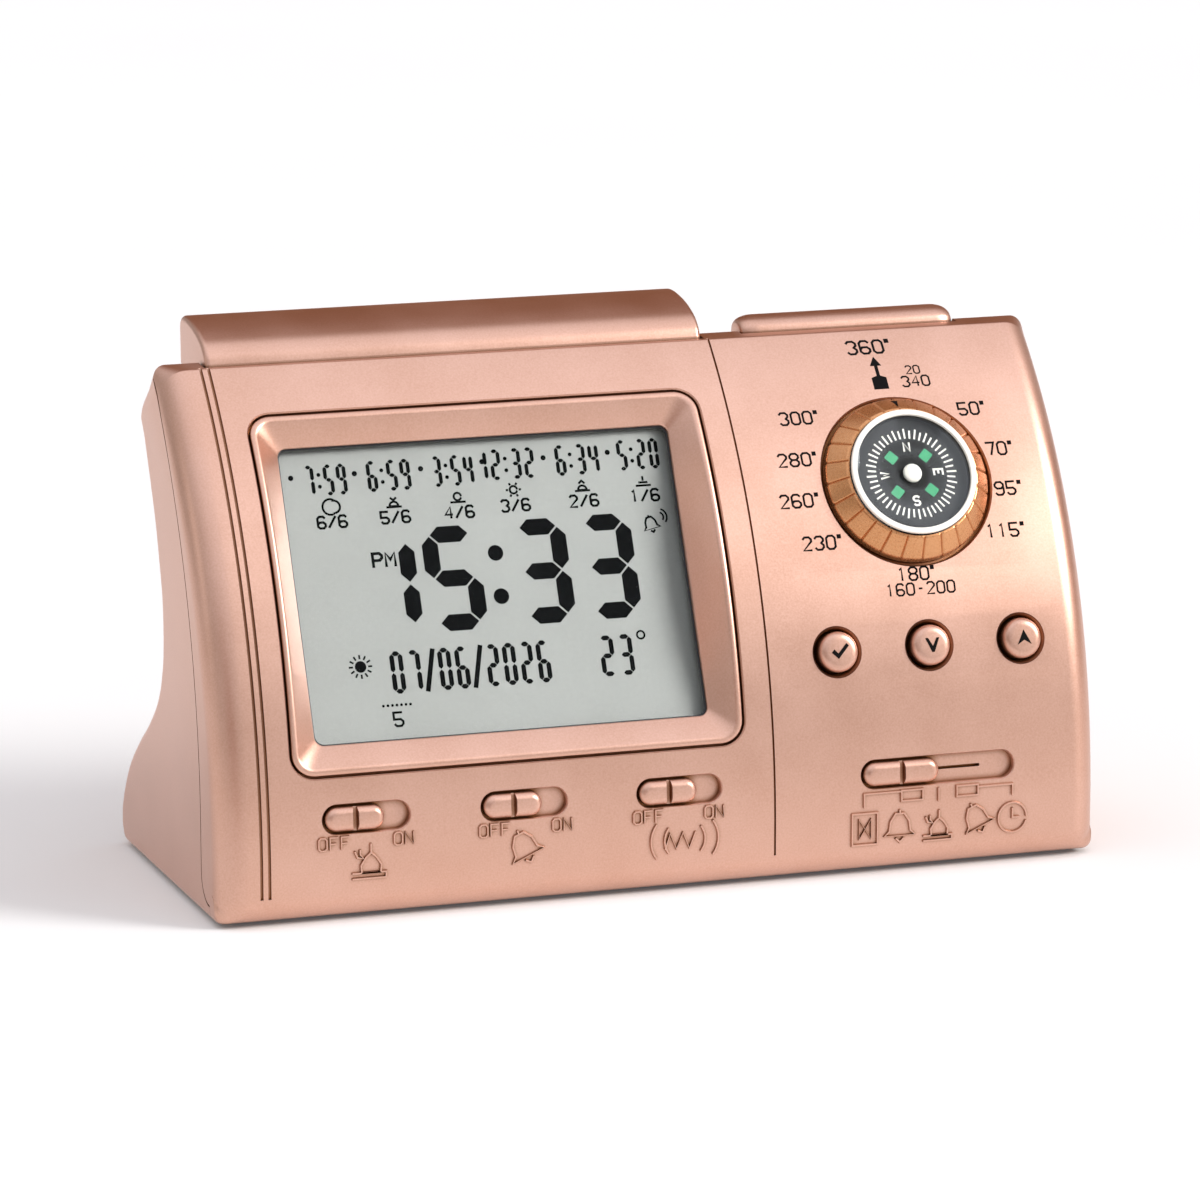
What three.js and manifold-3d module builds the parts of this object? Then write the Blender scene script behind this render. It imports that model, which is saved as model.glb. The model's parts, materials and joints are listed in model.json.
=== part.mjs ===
// Free-standing alarm clock: a leaning curved panel with a display, a pocket compass,
// push buttons and sliders, a press bar and a press pad on top, and a boot-shaped rear casing.
// Millimetres. +X is to the right of someone who faces the clock, +Y to its back, +Z up.
// The group stands on Z = 0 and is centred on X = 0 and Y = 0.
import * as THREE from "three";
import { mergeVertices } from "three/addons/utils/BufferGeometryUtils.js";
import Module from "manifold-3d";

const wasm = await Module();
wasm.setup();

// Batteries: the boot of the casing is drawn round them
const CELL_RADIUS = 7.1;
const CELL_LENGTH = 50.4; // with the nub
const CELL_NUB_RADIUS = 2.6;
const CELL_NUB_LENGTH = 1.2;
const CELL_HEIGHT = 10.2;
const CELL_FRONT_Y = 30.3;
const CELL_PITCH = 14.9;
const HEEL_MARGIN = 9.5; // from the back cell to the heel

// Casing
const CASE_WIDTH = 150;
const CASE_SIDE = CASE_WIDTH / 2;
const CASE_DEPTH = CELL_FRONT_Y + CELL_PITCH + CELL_RADIUS + HEEL_MARGIN; // front of the panel to the heel
const RIDGE_HEIGHT = 84.3; // crisp edge where the panel meets the top
const CREST_HEIGHT = RIDGE_HEIGHT + 0.35; // highest point of the casing's top
const FOOT_PROUD = 0.6; // the casing's underside above the table
const WALL = 2.2;
const FACE_RADIUS = 104; // the panel leans back along this arc
const FACE_START = 9; // height at which the lean begins
const RIDGE_Y = FACE_RADIUS - Math.sqrt(FACE_RADIUS ** 2 - (RIDGE_HEIGHT - FACE_START) ** 2);
const TOE_RADIUS = 5; // roll of the panel into the underside
const HEEL_RADIUS = 3.2;
const FRONT_ROLL = 5; // roll of the panel into the sides
const REAR_ROLL = 2;
const BASE_ROLL = 1.6;
const ROLL_TURN = 0.4; // facings between which one roll turns into the other
const BASE_TURN = 0.6; // rise of the outline's inner side at which the base's roll sets in
const SEAM_BACK = 10.7; // the seam is the panel's arc moved back and up
const SEAM_UP = 6;
const SEAM_TURN = 4.5; // radius at which the seam turns forward over the base
const SEAM_FLOOR = 3.2; // height at which it does
const SEAM_EXIT = 3.8; // where it leaves the underside
const SEAM_GAP = 0.3;
// The back's side outline from the crest down to the heel, as shares of the way from the ridge
// to the heel and of the crest height
const BACK_SHARES = [
  [0.141, 1],
  [0.26, 0.957],
  [0.403, 0.916],
  [0.447, 0.881],
  [0.386, 0.848],
  [0.335, 0.813],
  [0.257, 0.757],
  [0.172, 0.692],
  [0.109, 0.624],
  [0.053, 0.551],
  [0.048, 0.472],
  [0.078, 0.418],
  [0.17, 0.36],
  [0.367, 0.298],
  [0.59, 0.244],
  [0.789, 0.188],
  [0.917, 0.132],
  [0.988, 0.084],
  [1, 0.053],
];

// Clearances
const GAP = 0.3; // between pieces that touch
const RUN = 0.15; // of a piece that turns or slides in another
const OVERRUN = 10; // how far a cutter passes what it cuts
const SKIN = 0.5; // small overlap, edge or remaining thickness
const MERGE = 1e-4; // distance within which two corners are one

// Fineness of the curves
const FACE_STEPS = 12;
const TOE_STEPS = 4;
const BACK_STEPS = 22;
const ROLL_STEPS = 3;
const LID_STEPS = 2;
const DISPLAY_STEPS = 6;
const SLOT_STEPS = 5;
const CORNER_STEPS = 3;
const PIN_STEPS = 8;
const ROUND_STEPS = 14;
const DIAL_STEPS = 32;

// Boards and the posts that carry them
const BOARD_THICKNESS = 1.4;
const POST_RADIUS = 1.7;
const PIN_RADIUS = 0.8;
const POST_INSET = 1.9;

// Display: it takes the width that the compass and the buttons leave
const COMPASS_SIDE = 61.8; // width of the panel beside the bezel
const BEZEL_MARGIN = 12.2; // from the bezel to the clock's left side
const BEZEL_FLANK = 5.05; // from the window to the bezel's edge
const BEZEL_BROW = 5.9;
const WINDOW_WIDTH = CASE_WIDTH - COMPASS_SIDE - BEZEL_MARGIN - 2 * BEZEL_FLANK;
const WINDOW_HEIGHT = 48.4;
const WINDOW_CORNER = 1.5;
const WINDOW_SETBACK = 5.9; // the window plane behind the middle of the panel
const WINDOW_EDGE = 0.5; // thickness of the bezel at the window
const DISPLAY_ANGLE = 24.7; // degrees along the panel's arc, and so the display's lean
const BEZEL_WIDTH = WINDOW_WIDTH + 2 * BEZEL_FLANK;
const BEZEL_HEIGHT = WINDOW_HEIGHT + 2 * BEZEL_BROW; // along the panel's arc
const DISPLAY_X = BEZEL_MARGIN + BEZEL_WIDTH / 2 - CASE_SIDE;
const BEZEL_CORNER = 4;
const BEZEL_LIP = 0.9;
const BEZEL_LIP_DEPTH = 0.15;
const BEZEL_LEDGE = 4; // flat ledge round the window that the pane rests on
const BEZEL_FLANGE = 1.5; // how far the bezel's flange reaches behind the casing's wall
const BEZEL_FLANGE_THICKNESS = 1;
const LENS_MARGIN = 2.6; // how far the pane and the display pass the window
const LENS_THICKNESS = 1;
const LCD_THICKNESS = 1.8;
const REFLECTOR_THICKNESS = 1.4;
const STRIP_HEIGHT = 1.8;
const BRACKET_WALL = 1.5;
const MAIN_BOARD_WIDTH = BEZEL_WIDTH + 11;
const MAIN_BOARD_HEIGHT = BEZEL_HEIGHT - 2.2;
const CHIP_RADIUS = 6;
const CHIP_HEIGHT = 1.6;

// Grooves down the panel
const GROOVE_WIDTH = 0.45;
const GROOVE_DEPTH = 0.45;
const GROOVE_START = 5; // height at which they begin
const LEFT_GROOVE_X = 7.5 - CASE_SIDE;
const LEFT_GROOVE_PITCH = 1.3; // two grooves with a fine rib between them
const RIGHT_GROOVE_X = DISPLAY_X + BEZEL_WIDTH / 2 + 4.7;
const RIGHT_MIDDLE_X = (RIGHT_GROOVE_X + CASE_SIDE) / 2; // of the panel's part beside the display

// Snooze bar
const BAR_LEFT = 8 - CASE_SIDE;
const BAR_RIGHT = RIGHT_GROOVE_X - 0.8;
const BAR_FRONT = RIDGE_Y + 1.03;
const BAR_BACK = BAR_FRONT + 16.1;
const BAR_CREST = RIDGE_HEIGHT + 6.2;
const BAR_RIM = RIDGE_HEIGHT - 2.3; // lowest edge at rest
const BAR_WALL = 1.6;
const BAR_END_ROLL = 0.9;
const BAR_TRAVEL = 1.2;
const BAR_GAP = 0.35;
const STEM_RADIUS = 1.5;
// Side outline, as shares of the depth and of the height above the rim
const BAR_SHARES = [
  [0, 0],
  [0, 0.31],
  [0.045, 0.49],
  [0.15, 0.675],
  [0.3, 0.81],
  [0.45, 0.9],
  [0.62, 0.965],
  [0.79, 1],
  [0.91, 0.985],
  [0.975, 0.9],
  [1, 0.77],
  [0.985, 0],
];

// Plinth of the rear casing inside the bar's skirt
const PLINTH_WALL = 1.8;
const PLINTH_FRONT = BAR_FRONT + BAR_WALL + BAR_GAP;
const PLINTH_TOP = RIDGE_HEIGHT - 0.9;
const PLINTH_WAIST = RIDGE_HEIGHT - 6.3;
const PLINTH_FOOT = RIDGE_HEIGHT - 10.3;
const PLINTH_STEP = 3;

// Press pad over the compass
const PAD_LEFT = RIGHT_GROOVE_X + 7;
const PAD_RIGHT = CASE_SIDE - 12.6;
const PAD_FRONT = RIDGE_Y + 2.63;
const PAD_BACK = PAD_FRONT + 6.9;
const PAD_CREST = RIDGE_HEIGHT + 2.6;
const PAD_RIM = RIDGE_HEIGHT - 8.3;
const PAD_END_ROLL = 1.4;
const PAD_END_REACH = 2.2; // length of the end's bevel, in rolls
const PAD_TRAVEL = 1.2;
const PAD_SHARES = [
  [0, 0.5],
  [0, 0.8],
  [0.07, 0.89],
  [0.25, 0.97],
  [0.5, 1],
  [0.75, 0.97],
  [0.93, 0.87],
  [1, 0.7],
  [1, 0],
];

// Board under the top, its shelf and the push switches
const TOP_BOARD_LEFT = 19 - CASE_SIDE;
const TOP_BOARD_RIGHT = CASE_SIDE - 15;
const TOP_BOARD_FRONT = RIDGE_Y + 2.13;
const TOP_BOARD_BACK = RIDGE_Y + 0.27 * (CASE_DEPTH - RIDGE_Y);
const TOP_BOARD_HEIGHT = RIDGE_HEIGHT - 13;
const SHELF_SHARES = [0.06, 0.5, 0.94];
const SHELF_RIB = 1.8;
const SHELF_DEPTH = 8;
const SWITCH_SIZE = 6;
const SWITCH_HEIGHT = 2.5;
const PLUNGER_RADIUS = 1.7;
const PLUNGER_HEIGHT = 0.8;

// Push buttons
const BUTTON_ANGLE = 15.6;
const BUTTON_PITCH = 16.05;
const BUTTON_MIDDLE_X = RIGHT_MIDDLE_X - 0.5;
const BUTTON_RADIUS = 3.3;
const BUTTON_PROUD = 1.6;
const BUTTON_EDGE = 0.6;
const BUTTON_HOLE_GAP = 0.35;
const BUTTON_SINK_DEPTH = 0.6; // countersink round the hole
const BUTTON_FLANGE = 1.2;
const BUTTON_FLANGE_THICKNESS = 0.8;
const BUTTON_STEM_RADIUS = 1.5;
const BUTTON_TRAVEL = 0.8;
const KEY_BOARD_DEPTH = 12; // behind the panel
const KEY_BOARD_WIDTH = 2 * BUTTON_PITCH + 13.9;
const KEY_BOARD_HEIGHT = 11;

// Sliders
const SLIDER_ANGLE = 4.4;
const SLIDER_PITCH = 0.3447 * BEZEL_WIDTH;
const SLIDER_FIRST_X = DISPLAY_X + 0.2 - SLIDER_PITCH;
const SLOT_LENGTH = 14.4;
const SLOT_HEIGHT = 4.6;
const SLOT_DEPTH = 1.3;
const KNOB_LENGTH = 9.9;
const KNOB_PROUD = 0.8;
const KNOB_ROUND = 1.3;
const KNOB_NOTCH_WIDTH = 0.7;
const KNOB_NOTCH_DEPTH = 0.8;
const KNOB_GAP = 0.3;
const KNOB_POST_WIDTH = 2.4;
const KNOB_POST_HEIGHT = 1;
const MODE_X = RIGHT_MIDDLE_X - 0.15;
const MODE_SLOT_LENGTH = 26.7;
const MODE_KNOB_LENGTH = 13.2;
const SLIDE_SWITCH_FRONT = 4.6;
const SLIDE_SWITCH_HEIGHT = 5.2;
const SLIDE_SWITCH_MARGIN = 2;
const SLIDER_BOARD_DEPTH = 9.4;
const SLIDER_BOARD_LEFT = 12 - CASE_SIDE;
const SLIDER_BOARD_RIGHT = CASE_SIDE - 9;
const SLIDER_BOARD_LOW = 5.4;
const SLIDER_BOARD_HIGH = 2.9;

// Compass
const COMPASS_X = RIGHT_MIDDLE_X - 0.35;
const COMPASS_ANGLE = 30.9;
const RING_RADIUS = 14;
const RING_TOP_RADIUS = 11.7;
const RING_PROUD = 3; // top of the ring above the panel
const RING_SHOULDER = 0.3; // its upright edge above the panel
const RING_LINES = 24;
const RING_LINE_SHARE = 0.07; // half width of a line, as a share of the pitch
const RING_LINE_DEPTH = 0.28;
const DISH_DEPTH = 1.7; // recess that the ring turns in
const DISH_GAP = 0.5;
const DISH_FLOOR = 2.1;
const DISH_RIM = 2.5;
const CUP_RADIUS = 10.9;
const CUP_WALL = 0.8;
const CUP_RIM = 2.65; // top of the cup above the panel
const CUP_FLOOR = 4.5; // behind the panel
const CUP_FLANGE = 2.1;
const COLLAR_INNER = 10.3;
const COLLAR_OUTER = 11.45;
const COLLAR_THICKNESS = 0.75;
const COMPASS_LENS_THICKNESS = 0.5;
const CARD_RADIUS = 9.6;
const CARD_TOP = 2.3; // the card's face above the panel
const CARD_THICKNESS = 0.5;
const CAP_RADIUS = 1.1;
const CAP_HEIGHT = 0.35;
const PIVOT_RADIUS = 0.5;

// Battery bay and its door
const CELL_MIDDLE_X = DISPLAY_X + 3.8;
const CONTACT_THICKNESS = 0.6;
const CONTACT_HEIGHT = 11.6;
const CONTACT_REACH = 3.2; // how far a plate passes the last cell's axis
const CONTACT_SPRING_LENGTH = 3.2;
const CONTACT_SPRING_RADIUS = 3;
const COILS = 2;
const BAY_WALL = 1.5;
const BAY_RISE = 5;
const DOOR_WALL = 2;
const DOOR_TOP = 24.3; // height of the opening's upper edge
const DOOR_HINGE = 12.3; // height of its lower edge
const DOOR_GAP = 0.35;
const DOOR_PIN_RADIUS = 0.6;
const DOOR_PIN_LENGTH = 1.4;

// Speaker
const SPEAKER_X = RIGHT_MIDDLE_X - 0.15;
const SPEAKER_HEIGHT = 46;
const SPEAKER_SEAT = 31.2;
const SPEAKER_RADIUS = 15;
const SPEAKER_RIM = 1;
const SPEAKER_DEPTH = 5;
const SPEAKER_CONE_RADIUS = 12.6;
const SPEAKER_COLLAR = 1.5;
const VOICE_RADIUS = 3;
const MAGNET_RADIUS = 7.5;
const MAGNET_THICKNESS = 3.4;
const GRILLE_SLOTS = 7;
const GRILLE_PITCH = 3.4;
const GRILLE_SLOT = 1.5;

// Screws and feet
const SCREW_HEAD_RADIUS = 2.2;
const SCREW_HEAD_HEIGHT = 1.5;
const SCREW_RADIUS = 1.25;
const SCREW_LENGTH = 7;
const SCREW_DRIVE_WIDTH = 0.6;
const SCREW_DRIVE_DEPTH = 0.7;
const BOSS_RADIUS = 3.2;
const BACK_SCREW_X = CASE_SIDE - 5.6;
const BACK_SCREW_HEIGHT = 64;
const BACK_SCREW_SEAT = 32.5;
const BASE_SCREW_X = CASE_SIDE - 9.5;
const BASE_SCREW_Y = 19;
const BASE_SCREW_SEAT = 2.9;
const LUG_HEIGHT = 5.2;
const FOOT_RADIUS = 4;
const FOOT_SEAT = 0.9;
const FOOT_INSET_X = 13;
const FOOT_FRONT_Y = 11.5;
const FOOT_BACK_Y = 54;

// Finishes
const finish = (color, roughness, metalness) =>
  new THREE.MeshStandardMaterial({ color, roughness, metalness });
const ROSE_PAINT = finish("#dba98f", 0.38, 0.55);
const ROSE_TRIM = finish("#c98d5f", 0.34, 0.6);
const CLEAR = finish("#e8eef0", 0.05, 0);
const LCD_GREY = finish("#b9bab7", 0.35, 0);
const WHITE_PLASTIC = finish("#eeeae0", 0.45, 0);
const IVORY = finish("#f4eee2", 0.35, 0);
const BLACK_PLASTIC = finish("#141416", 0.5, 0);
const DARK_RUBBER = finish("#26262a", 0.8, 0);
const BOARD_GREEN = finish("#1f5a3c", 0.5, 0);
const STEEL = finish("#b8babd", 0.35, 0.9);
const CELL_LABEL = finish("#30343c", 0.4, 0.2);
const PAPER = finish("#3a3732", 0.9, 0);

const rad = THREE.MathUtils.degToRad;
const { lerp, smoothstep } = THREE.MathUtils;
const QUARTER = Math.PI / 2;
const v2 = (x, y) => new THREE.Vector2(x, y);
const v3 = (x, y, z) => new THREE.Vector3(x, y, z);
const span = (steps) => Array.from({ length: steps + 1 }, (_, k) => k / steps);

// From three.js geometry to solids that can be cut and joined, and back

function solidOf(geometry, frame) {
  const bare = new THREE.BufferGeometry();
  const plain = geometry.index ? geometry.toNonIndexed() : geometry;
  bare.setAttribute("position", plain.getAttribute("position").clone());
  if (frame) bare.applyMatrix4(frame);
  const merged = mergeVertices(bare, MERGE);
  const at = (i) => v3().fromBufferAttribute(merged.attributes.position, i);
  const faces = [];
  let volume = 0;
  for (let i = 0; i < merged.index.count; i += 3) {
    const [a, b, c] = merged.index.array.slice(i, i + 3);
    if (a === b || b === c || c === a) continue;
    volume += at(a).dot(at(b).cross(at(c)));
    faces.push([a, b, c]);
  }
  if (volume < 0) faces.forEach((face) => face.reverse());
  return new wasm.Manifold(
    new wasm.Mesh({
      numProp: 3,
      vertProperties: merged.attributes.position.array,
      triVerts: new Uint32Array(faces.flat()),
    }),
  );
}

function geometryOf(solid) {
  const made = solid.getMesh();
  const places = new Float32Array(made.numVert * 3);
  for (let i = 0; i < made.numVert; i++)
    places.set(made.vertProperties.subarray(i * made.numProp, i * made.numProp + 3), i * 3);
  const geometry = new THREE.BufferGeometry();
  geometry.setAttribute("position", new THREE.BufferAttribute(places, 3));
  geometry.setIndex(new THREE.BufferAttribute(new Uint32Array(made.triVerts), 1));
  geometry.computeVertexNormals();
  return geometry;
}

const join = (...solids) => solids.flat().reduce((whole, solid) => whole.add(solid));
const cut = (solid, ...cutters) => cutters.flat().reduce((rest, cutter) => rest.subtract(cutter), solid);

// Frames: a plain shift, local Y turned upright or lengthwise, and a place on the leaning panel
// where local Y points into the clock and local Z up the panel

const shifted = (x, y, z) => new THREE.Matrix4().makeTranslation(x, y, z);
const upright = (x, y) => new THREE.Matrix4().makeRotationX(QUARTER).setPosition(x, y, 0);
const lengthwise = (y, z) => new THREE.Matrix4().makeRotationZ(-QUARTER).setPosition(0, y, z);

const faceAngleAt = (height) => Math.asin((height - FACE_START) / FACE_RADIUS);
const onFace = (angle, depth = 0) => [
  FACE_RADIUS - (FACE_RADIUS - depth) * Math.cos(angle),
  FACE_START + (FACE_RADIUS - depth) * Math.sin(angle),
];
const panelFrame = (x, degrees, depth = 0) =>
  new THREE.Matrix4().makeRotationX(-rad(degrees)).setPosition(x, ...onFace(rad(degrees), depth));

// Surfaces. A loft joins rings of equally many points: with lids seen in a plane, or round on itself.

function loft(rings, inPlane) {
  const count = rings[0].length;
  const bands = inPlane ? rings.length - 1 : rings.length;
  const faces = [];
  for (let i = 0; i < bands; i++)
    for (let j = 0; j < count; j++) {
      const [near, far] = [i * count, ((i + 1) % rings.length) * count];
      const next = (j + 1) % count;
      faces.push([near + j, near + next, far + next], [near + j, far + next, far + j]);
    }
  if (inPlane)
    [rings.length - 1, 0].forEach((ring, first) => {
      const flat = rings[ring].map(inPlane);
      const turn = THREE.ShapeUtils.isClockWise(flat) !== Boolean(first);
      THREE.ShapeUtils.triangulateShape(flat, []).forEach((face) => {
        const corners = face.map((j) => ring * count + j);
        faces.push(turn ? corners.reverse() : corners);
      });
    });
  const geometry = new THREE.BufferGeometry();
  const places = rings.flat().flatMap((place) => place.toArray());
  geometry.setAttribute("position", new THREE.Float32BufferAttribute(places, 3));
  geometry.setIndex(faces.flat());
  return geometry;
}

const fromSide = (place) => v2(place.y, place.z);
const fromFront = (place) => v2(place.x, place.z);

// Turned piece: a profile of [radius, place along local Y], closed by the axis or on itself
function turned(profile, steps = ROUND_STEPS) {
  const points = profile.map(([radius, along]) => v2(radius, along));
  const [first, last] = [points[0], points[points.length - 1]];
  if (first.x > 0 || last.x > 0) points.push(first.clone());
  return new THREE.LatheGeometry(points, steps);
}

const rod = (radius, from, to, steps) => turned([[0, from], [radius, from], [radius, to], [0, to]], steps);

function block([x0, x1], [y0, y1], [z0, z1]) {
  const geometry = new THREE.BoxGeometry(x1 - x0, y1 - y0, z1 - z0);
  return geometry.translate((x0 + x1) / 2, (y0 + y1) / 2, (z0 + z1) / 2);
}

const about = (middle, size) => [middle - size / 2, middle + size / 2];

// Prism across the clock from an outline of points in the side view
function prismAcross(outline, [from, to]) {
  const side = (x) => outline.map((point) => (point.isVector2 ? v3(x, point.x, point.y) : v3(x, ...point)));
  return solidOf(loft([side(from), side(to)], fromSide));
}

// Rounded rectangle of [x, z] points, with extra points up its two upright sides
function roundedLoop(width, height, corner, sideSteps = 1, cornerSteps = CORNER_STEPS) {
  const [x, z] = [width / 2 - corner, height / 2 - corner];
  const middles = [[x, z], [-x, z], [-x, -z], [x, -z]];
  return middles.flatMap(([cx, cz], quarter) => {
    const points = span(cornerSteps).map((share) => {
      const angle = (quarter + share) * QUARTER;
      return [cx + corner * Math.cos(angle), cz + corner * Math.sin(angle)];
    });
    if (quarter % 2)
      for (let k = 1; k < sideSteps; k++)
        points.push([points[cornerSteps][0], lerp(cz, -cz, k / sideSteps)]);
    return points;
  });
}

// A loop laid on the bent panel at a depth, or in a flat frame at a distance along local Y
function onPanel(loop, x, degrees, depth) {
  return loop.map(([across, up]) => v3(x + across, ...onFace(rad(degrees) + up / FACE_RADIUS, depth)));
}
const inFrame = (loop, frame, distance) =>
  loop.map(([across, up]) => v3(across, distance, up).applyMatrix4(frame));

// For each point of an outline, the move that takes both its edges in by one
function mitresOf(outline) {
  const count = outline.length;
  const turn = THREE.ShapeUtils.isClockWise(outline) ? 1 : -1;
  return outline.map((point, i) => {
    const before = point.clone().sub(outline[(i + count - 1) % count]).normalize();
    const after = outline[(i + 1) % count].clone().sub(point).normalize();
    const [first, second] = [before, after].map((edge) => v2(edge.y, -edge.x).multiplyScalar(turn));
    return first.clone().add(second).divideScalar(1 + first.dot(second));
  });
}

function movedIn(outline, amounts) {
  const mitres = mitresOf(outline);
  return outline.map((point, i) => point.clone().addScaledVector(mitres[i], amounts[i]));
}

// Solid across the clock whose two ends roll over by an amount for each point of its outline
function rolledSolid(outline, rolls, [from, to], inset = 0, steps = ROLL_STEPS, reach = 1) {
  const rest = rolls.map((roll) => Math.max(roll - inset, SKIN));
  const ring = (end, side, share) => {
    const amounts = rest.map((roll) => inset + roll * (1 - Math.sin(share * QUARTER)));
    return movedIn(outline, amounts).map((place, i) => {
      const along = inset + reach * rest[i] * (1 - Math.cos(share * QUARTER));
      return v3(end - side * along, place.x, place.y);
    });
  };
  const near = span(steps).map((share) => ring(from, -1, share));
  const far = span(steps).map((share) => ring(to, 1, 1 - share));
  return solidOf(loft([...near, ...far], fromSide));
}

// The casing's form: side outline from the toe up the panel, over the ridge and down the back

const RIDGE_ANGLE = faceAngleAt(RIDGE_HEIGHT);
const BACK = new THREE.SplineCurve(
  BACK_SHARES.map(([back, height]) => v2(lerp(RIDGE_Y, CASE_DEPTH, back), height * CREST_HEIGHT)),
).getPoints(BACK_STEPS);

function caseOutline() {
  const toe = span(TOE_STEPS).map((share) => v2(
    TOE_RADIUS * (1 - Math.sin(share * QUARTER)),
    FOOT_PROUD + TOE_RADIUS * (1 - Math.cos(share * QUARTER)),
  ));
  const panel = span(FACE_STEPS).map((share) => v2(...onFace(share * RIDGE_ANGLE)));
  const last = BACK[BACK_STEPS];
  const heel = span(TOE_STEPS).slice(1).map((share) => v2(
    last.x - HEEL_RADIUS * (1 - Math.cos(share * QUARTER)),
    lerp(last.y, FOOT_PROUD, Math.sin(share * QUARTER)),
  ));
  return [...toe, ...panel, ...BACK, ...heel];
}

const OUTLINE = caseOutline();

// The sides roll over widely along the panel, less along the back and least along the base
const CASE_ROLLS = mitresOf(OUTLINE).map((mitre) => {
  const inward = mitre.normalize(); // x is 1 at the front and -1 at the back, y is 1 at the base
  const side = lerp(REAR_ROLL, FRONT_ROLL, smoothstep(inward.x, -ROLL_TURN, ROLL_TURN));
  return lerp(side, BASE_ROLL, smoothstep(inward.y, BASE_TURN, 1));
});

const caseSolid = (inset) => rolledSolid(OUTLINE, CASE_ROLLS, about(0, CASE_WIDTH), inset);

// Everything in front of the seam, grown backwards by a gap
function inFrontOfSeam(gap) {
  const radius = FACE_RADIUS - gap;
  const top = faceAngleAt(BAR_CREST);
  const arc = span(FACE_STEPS).map((share) => {
    const angle = lerp(top, 0, share);
    return [
      SEAM_BACK + FACE_RADIUS - radius * Math.cos(angle),
      SEAM_UP + FACE_START + radius * Math.sin(angle),
    ];
  });
  const turn = span(TOE_STEPS).map((share) => [
    SEAM_BACK - SEAM_TURN + (SEAM_TURN + gap) * Math.cos(share * QUARTER),
    SEAM_FLOOR + SEAM_TURN - (SEAM_TURN + gap) * Math.sin(share * QUARTER),
  ]);
  const rest = [[SEAM_EXIT + gap, -OVERRUN], [-OVERRUN, -OVERRUN], [-OVERRUN, arc[0][1]]];
  return prismAcross([...arc, ...turn, ...rest], about(0, CASE_WIDTH + OVERRUN));
}

const outer = caseSolid(0);
const hollow = caseSolid(WALL);
const rooted = caseSolid(SKIN); // inner ribs and posts are trimmed to this form

// Posts with a pin that passes through a board, in a frame: posts to join, holes to cut

function stakes(frame, places, front) {
  const at = ([x, z]) => frame.clone().multiply(shifted(x, 0, z));
  return {
    posts: places.flatMap((place) => [
      solidOf(rod(POST_RADIUS, -OVERRUN, front - GAP, PIN_STEPS), at(place)),
      solidOf(rod(PIN_RADIUS, -OVERRUN, front + BOARD_THICKNESS + SKIN, PIN_STEPS), at(place)),
    ]),
    holes: places.map((place) =>
      solidOf(rod(PIN_RADIUS + GAP, -OVERRUN, 2 * OVERRUN, PIN_STEPS), at(place))),
  };
}

// Display: a funnel-shaped bezel in the panel's opening, and a flat stack behind its window

const displayFrame = panelFrame(DISPLAY_X, DISPLAY_ANGLE, WINDOW_SETBACK);
const onDisplay = (grow, depth) => onPanel(
  roundedLoop(BEZEL_WIDTH + 2 * grow, BEZEL_HEIGHT + 2 * grow, BEZEL_CORNER + grow, DISPLAY_STEPS),
  DISPLAY_X, DISPLAY_ANGLE, depth,
);
const atWindow = (grow, distance, corner = WINDOW_CORNER) => inFrame(
  roundedLoop(WINDOW_WIDTH + 2 * grow, WINDOW_HEIGHT + 2 * grow, corner, DISPLAY_STEPS),
  displayFrame, distance,
);
const plate = (margin, from, to) => solidOf(
  block(about(0, WINDOW_WIDTH + 2 * margin), [from, to], about(0, WINDOW_HEIGHT + 2 * margin)),
  displayFrame,
);

const flangeFront = WALL + GAP;
const bezel = solidOf(loft([
  onDisplay(-SEAM_GAP, BEZEL_LIP_DEPTH),
  onDisplay(-SEAM_GAP - BEZEL_LIP, 0),
  atWindow(0, 0),
  atWindow(0, WINDOW_EDGE),
  atWindow(BEZEL_LEDGE, WINDOW_EDGE),
  onDisplay(BEZEL_FLANGE, flangeFront + BEZEL_FLANGE_THICKNESS),
  onDisplay(BEZEL_FLANGE, flangeFront),
  onDisplay(-SEAM_GAP, flangeFront),
]));
const displayHole = solidOf(loft([onDisplay(0, -OVERRUN), onDisplay(0, OVERRUN)], fromFront));

const lensFront = WINDOW_EDGE + GAP;
const glassFront = lensFront + LENS_THICKNESS + GAP;
const reflectorFront = glassFront + LCD_THICKNESS + GAP;
const boardFront = reflectorFront + REFLECTOR_THICKNESS + 3 * GAP;
const displayLens = plate(LENS_MARGIN, lensFront, lensFront + LENS_THICKNESS);
const displayGlass = plate(LENS_MARGIN, glassFront, glassFront + LCD_THICKNESS);
const reflector = solidOf(
  block(
    about(0, WINDOW_WIDTH),
    [reflectorFront, reflectorFront + REFLECTOR_THICKNESS],
    about(0, WINDOW_HEIGHT - 2 * STRIP_HEIGHT),
  ),
  displayFrame,
);
const contactStrip = (side) => solidOf(
  block(
    about(0, WINDOW_WIDTH),
    [reflectorFront, boardFront - GAP],
    about(side * (WINDOW_HEIGHT + STRIP_HEIGHT) / 2, STRIP_HEIGHT),
  ),
  displayFrame,
);
const bracketInner = LENS_MARGIN + GAP;
const bracketFront = WINDOW_EDGE + 2 * GAP;
const bracketOuter = bracketInner + BRACKET_WALL;
const displayBracket = cut(
  solidOf(loft([
    atWindow(bracketOuter, bracketFront, BRACKET_WALL),
    atWindow(bracketOuter, boardFront - GAP, BRACKET_WALL),
  ], fromFront)),
  plate(bracketInner, -OVERRUN, OVERRUN),
);

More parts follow.
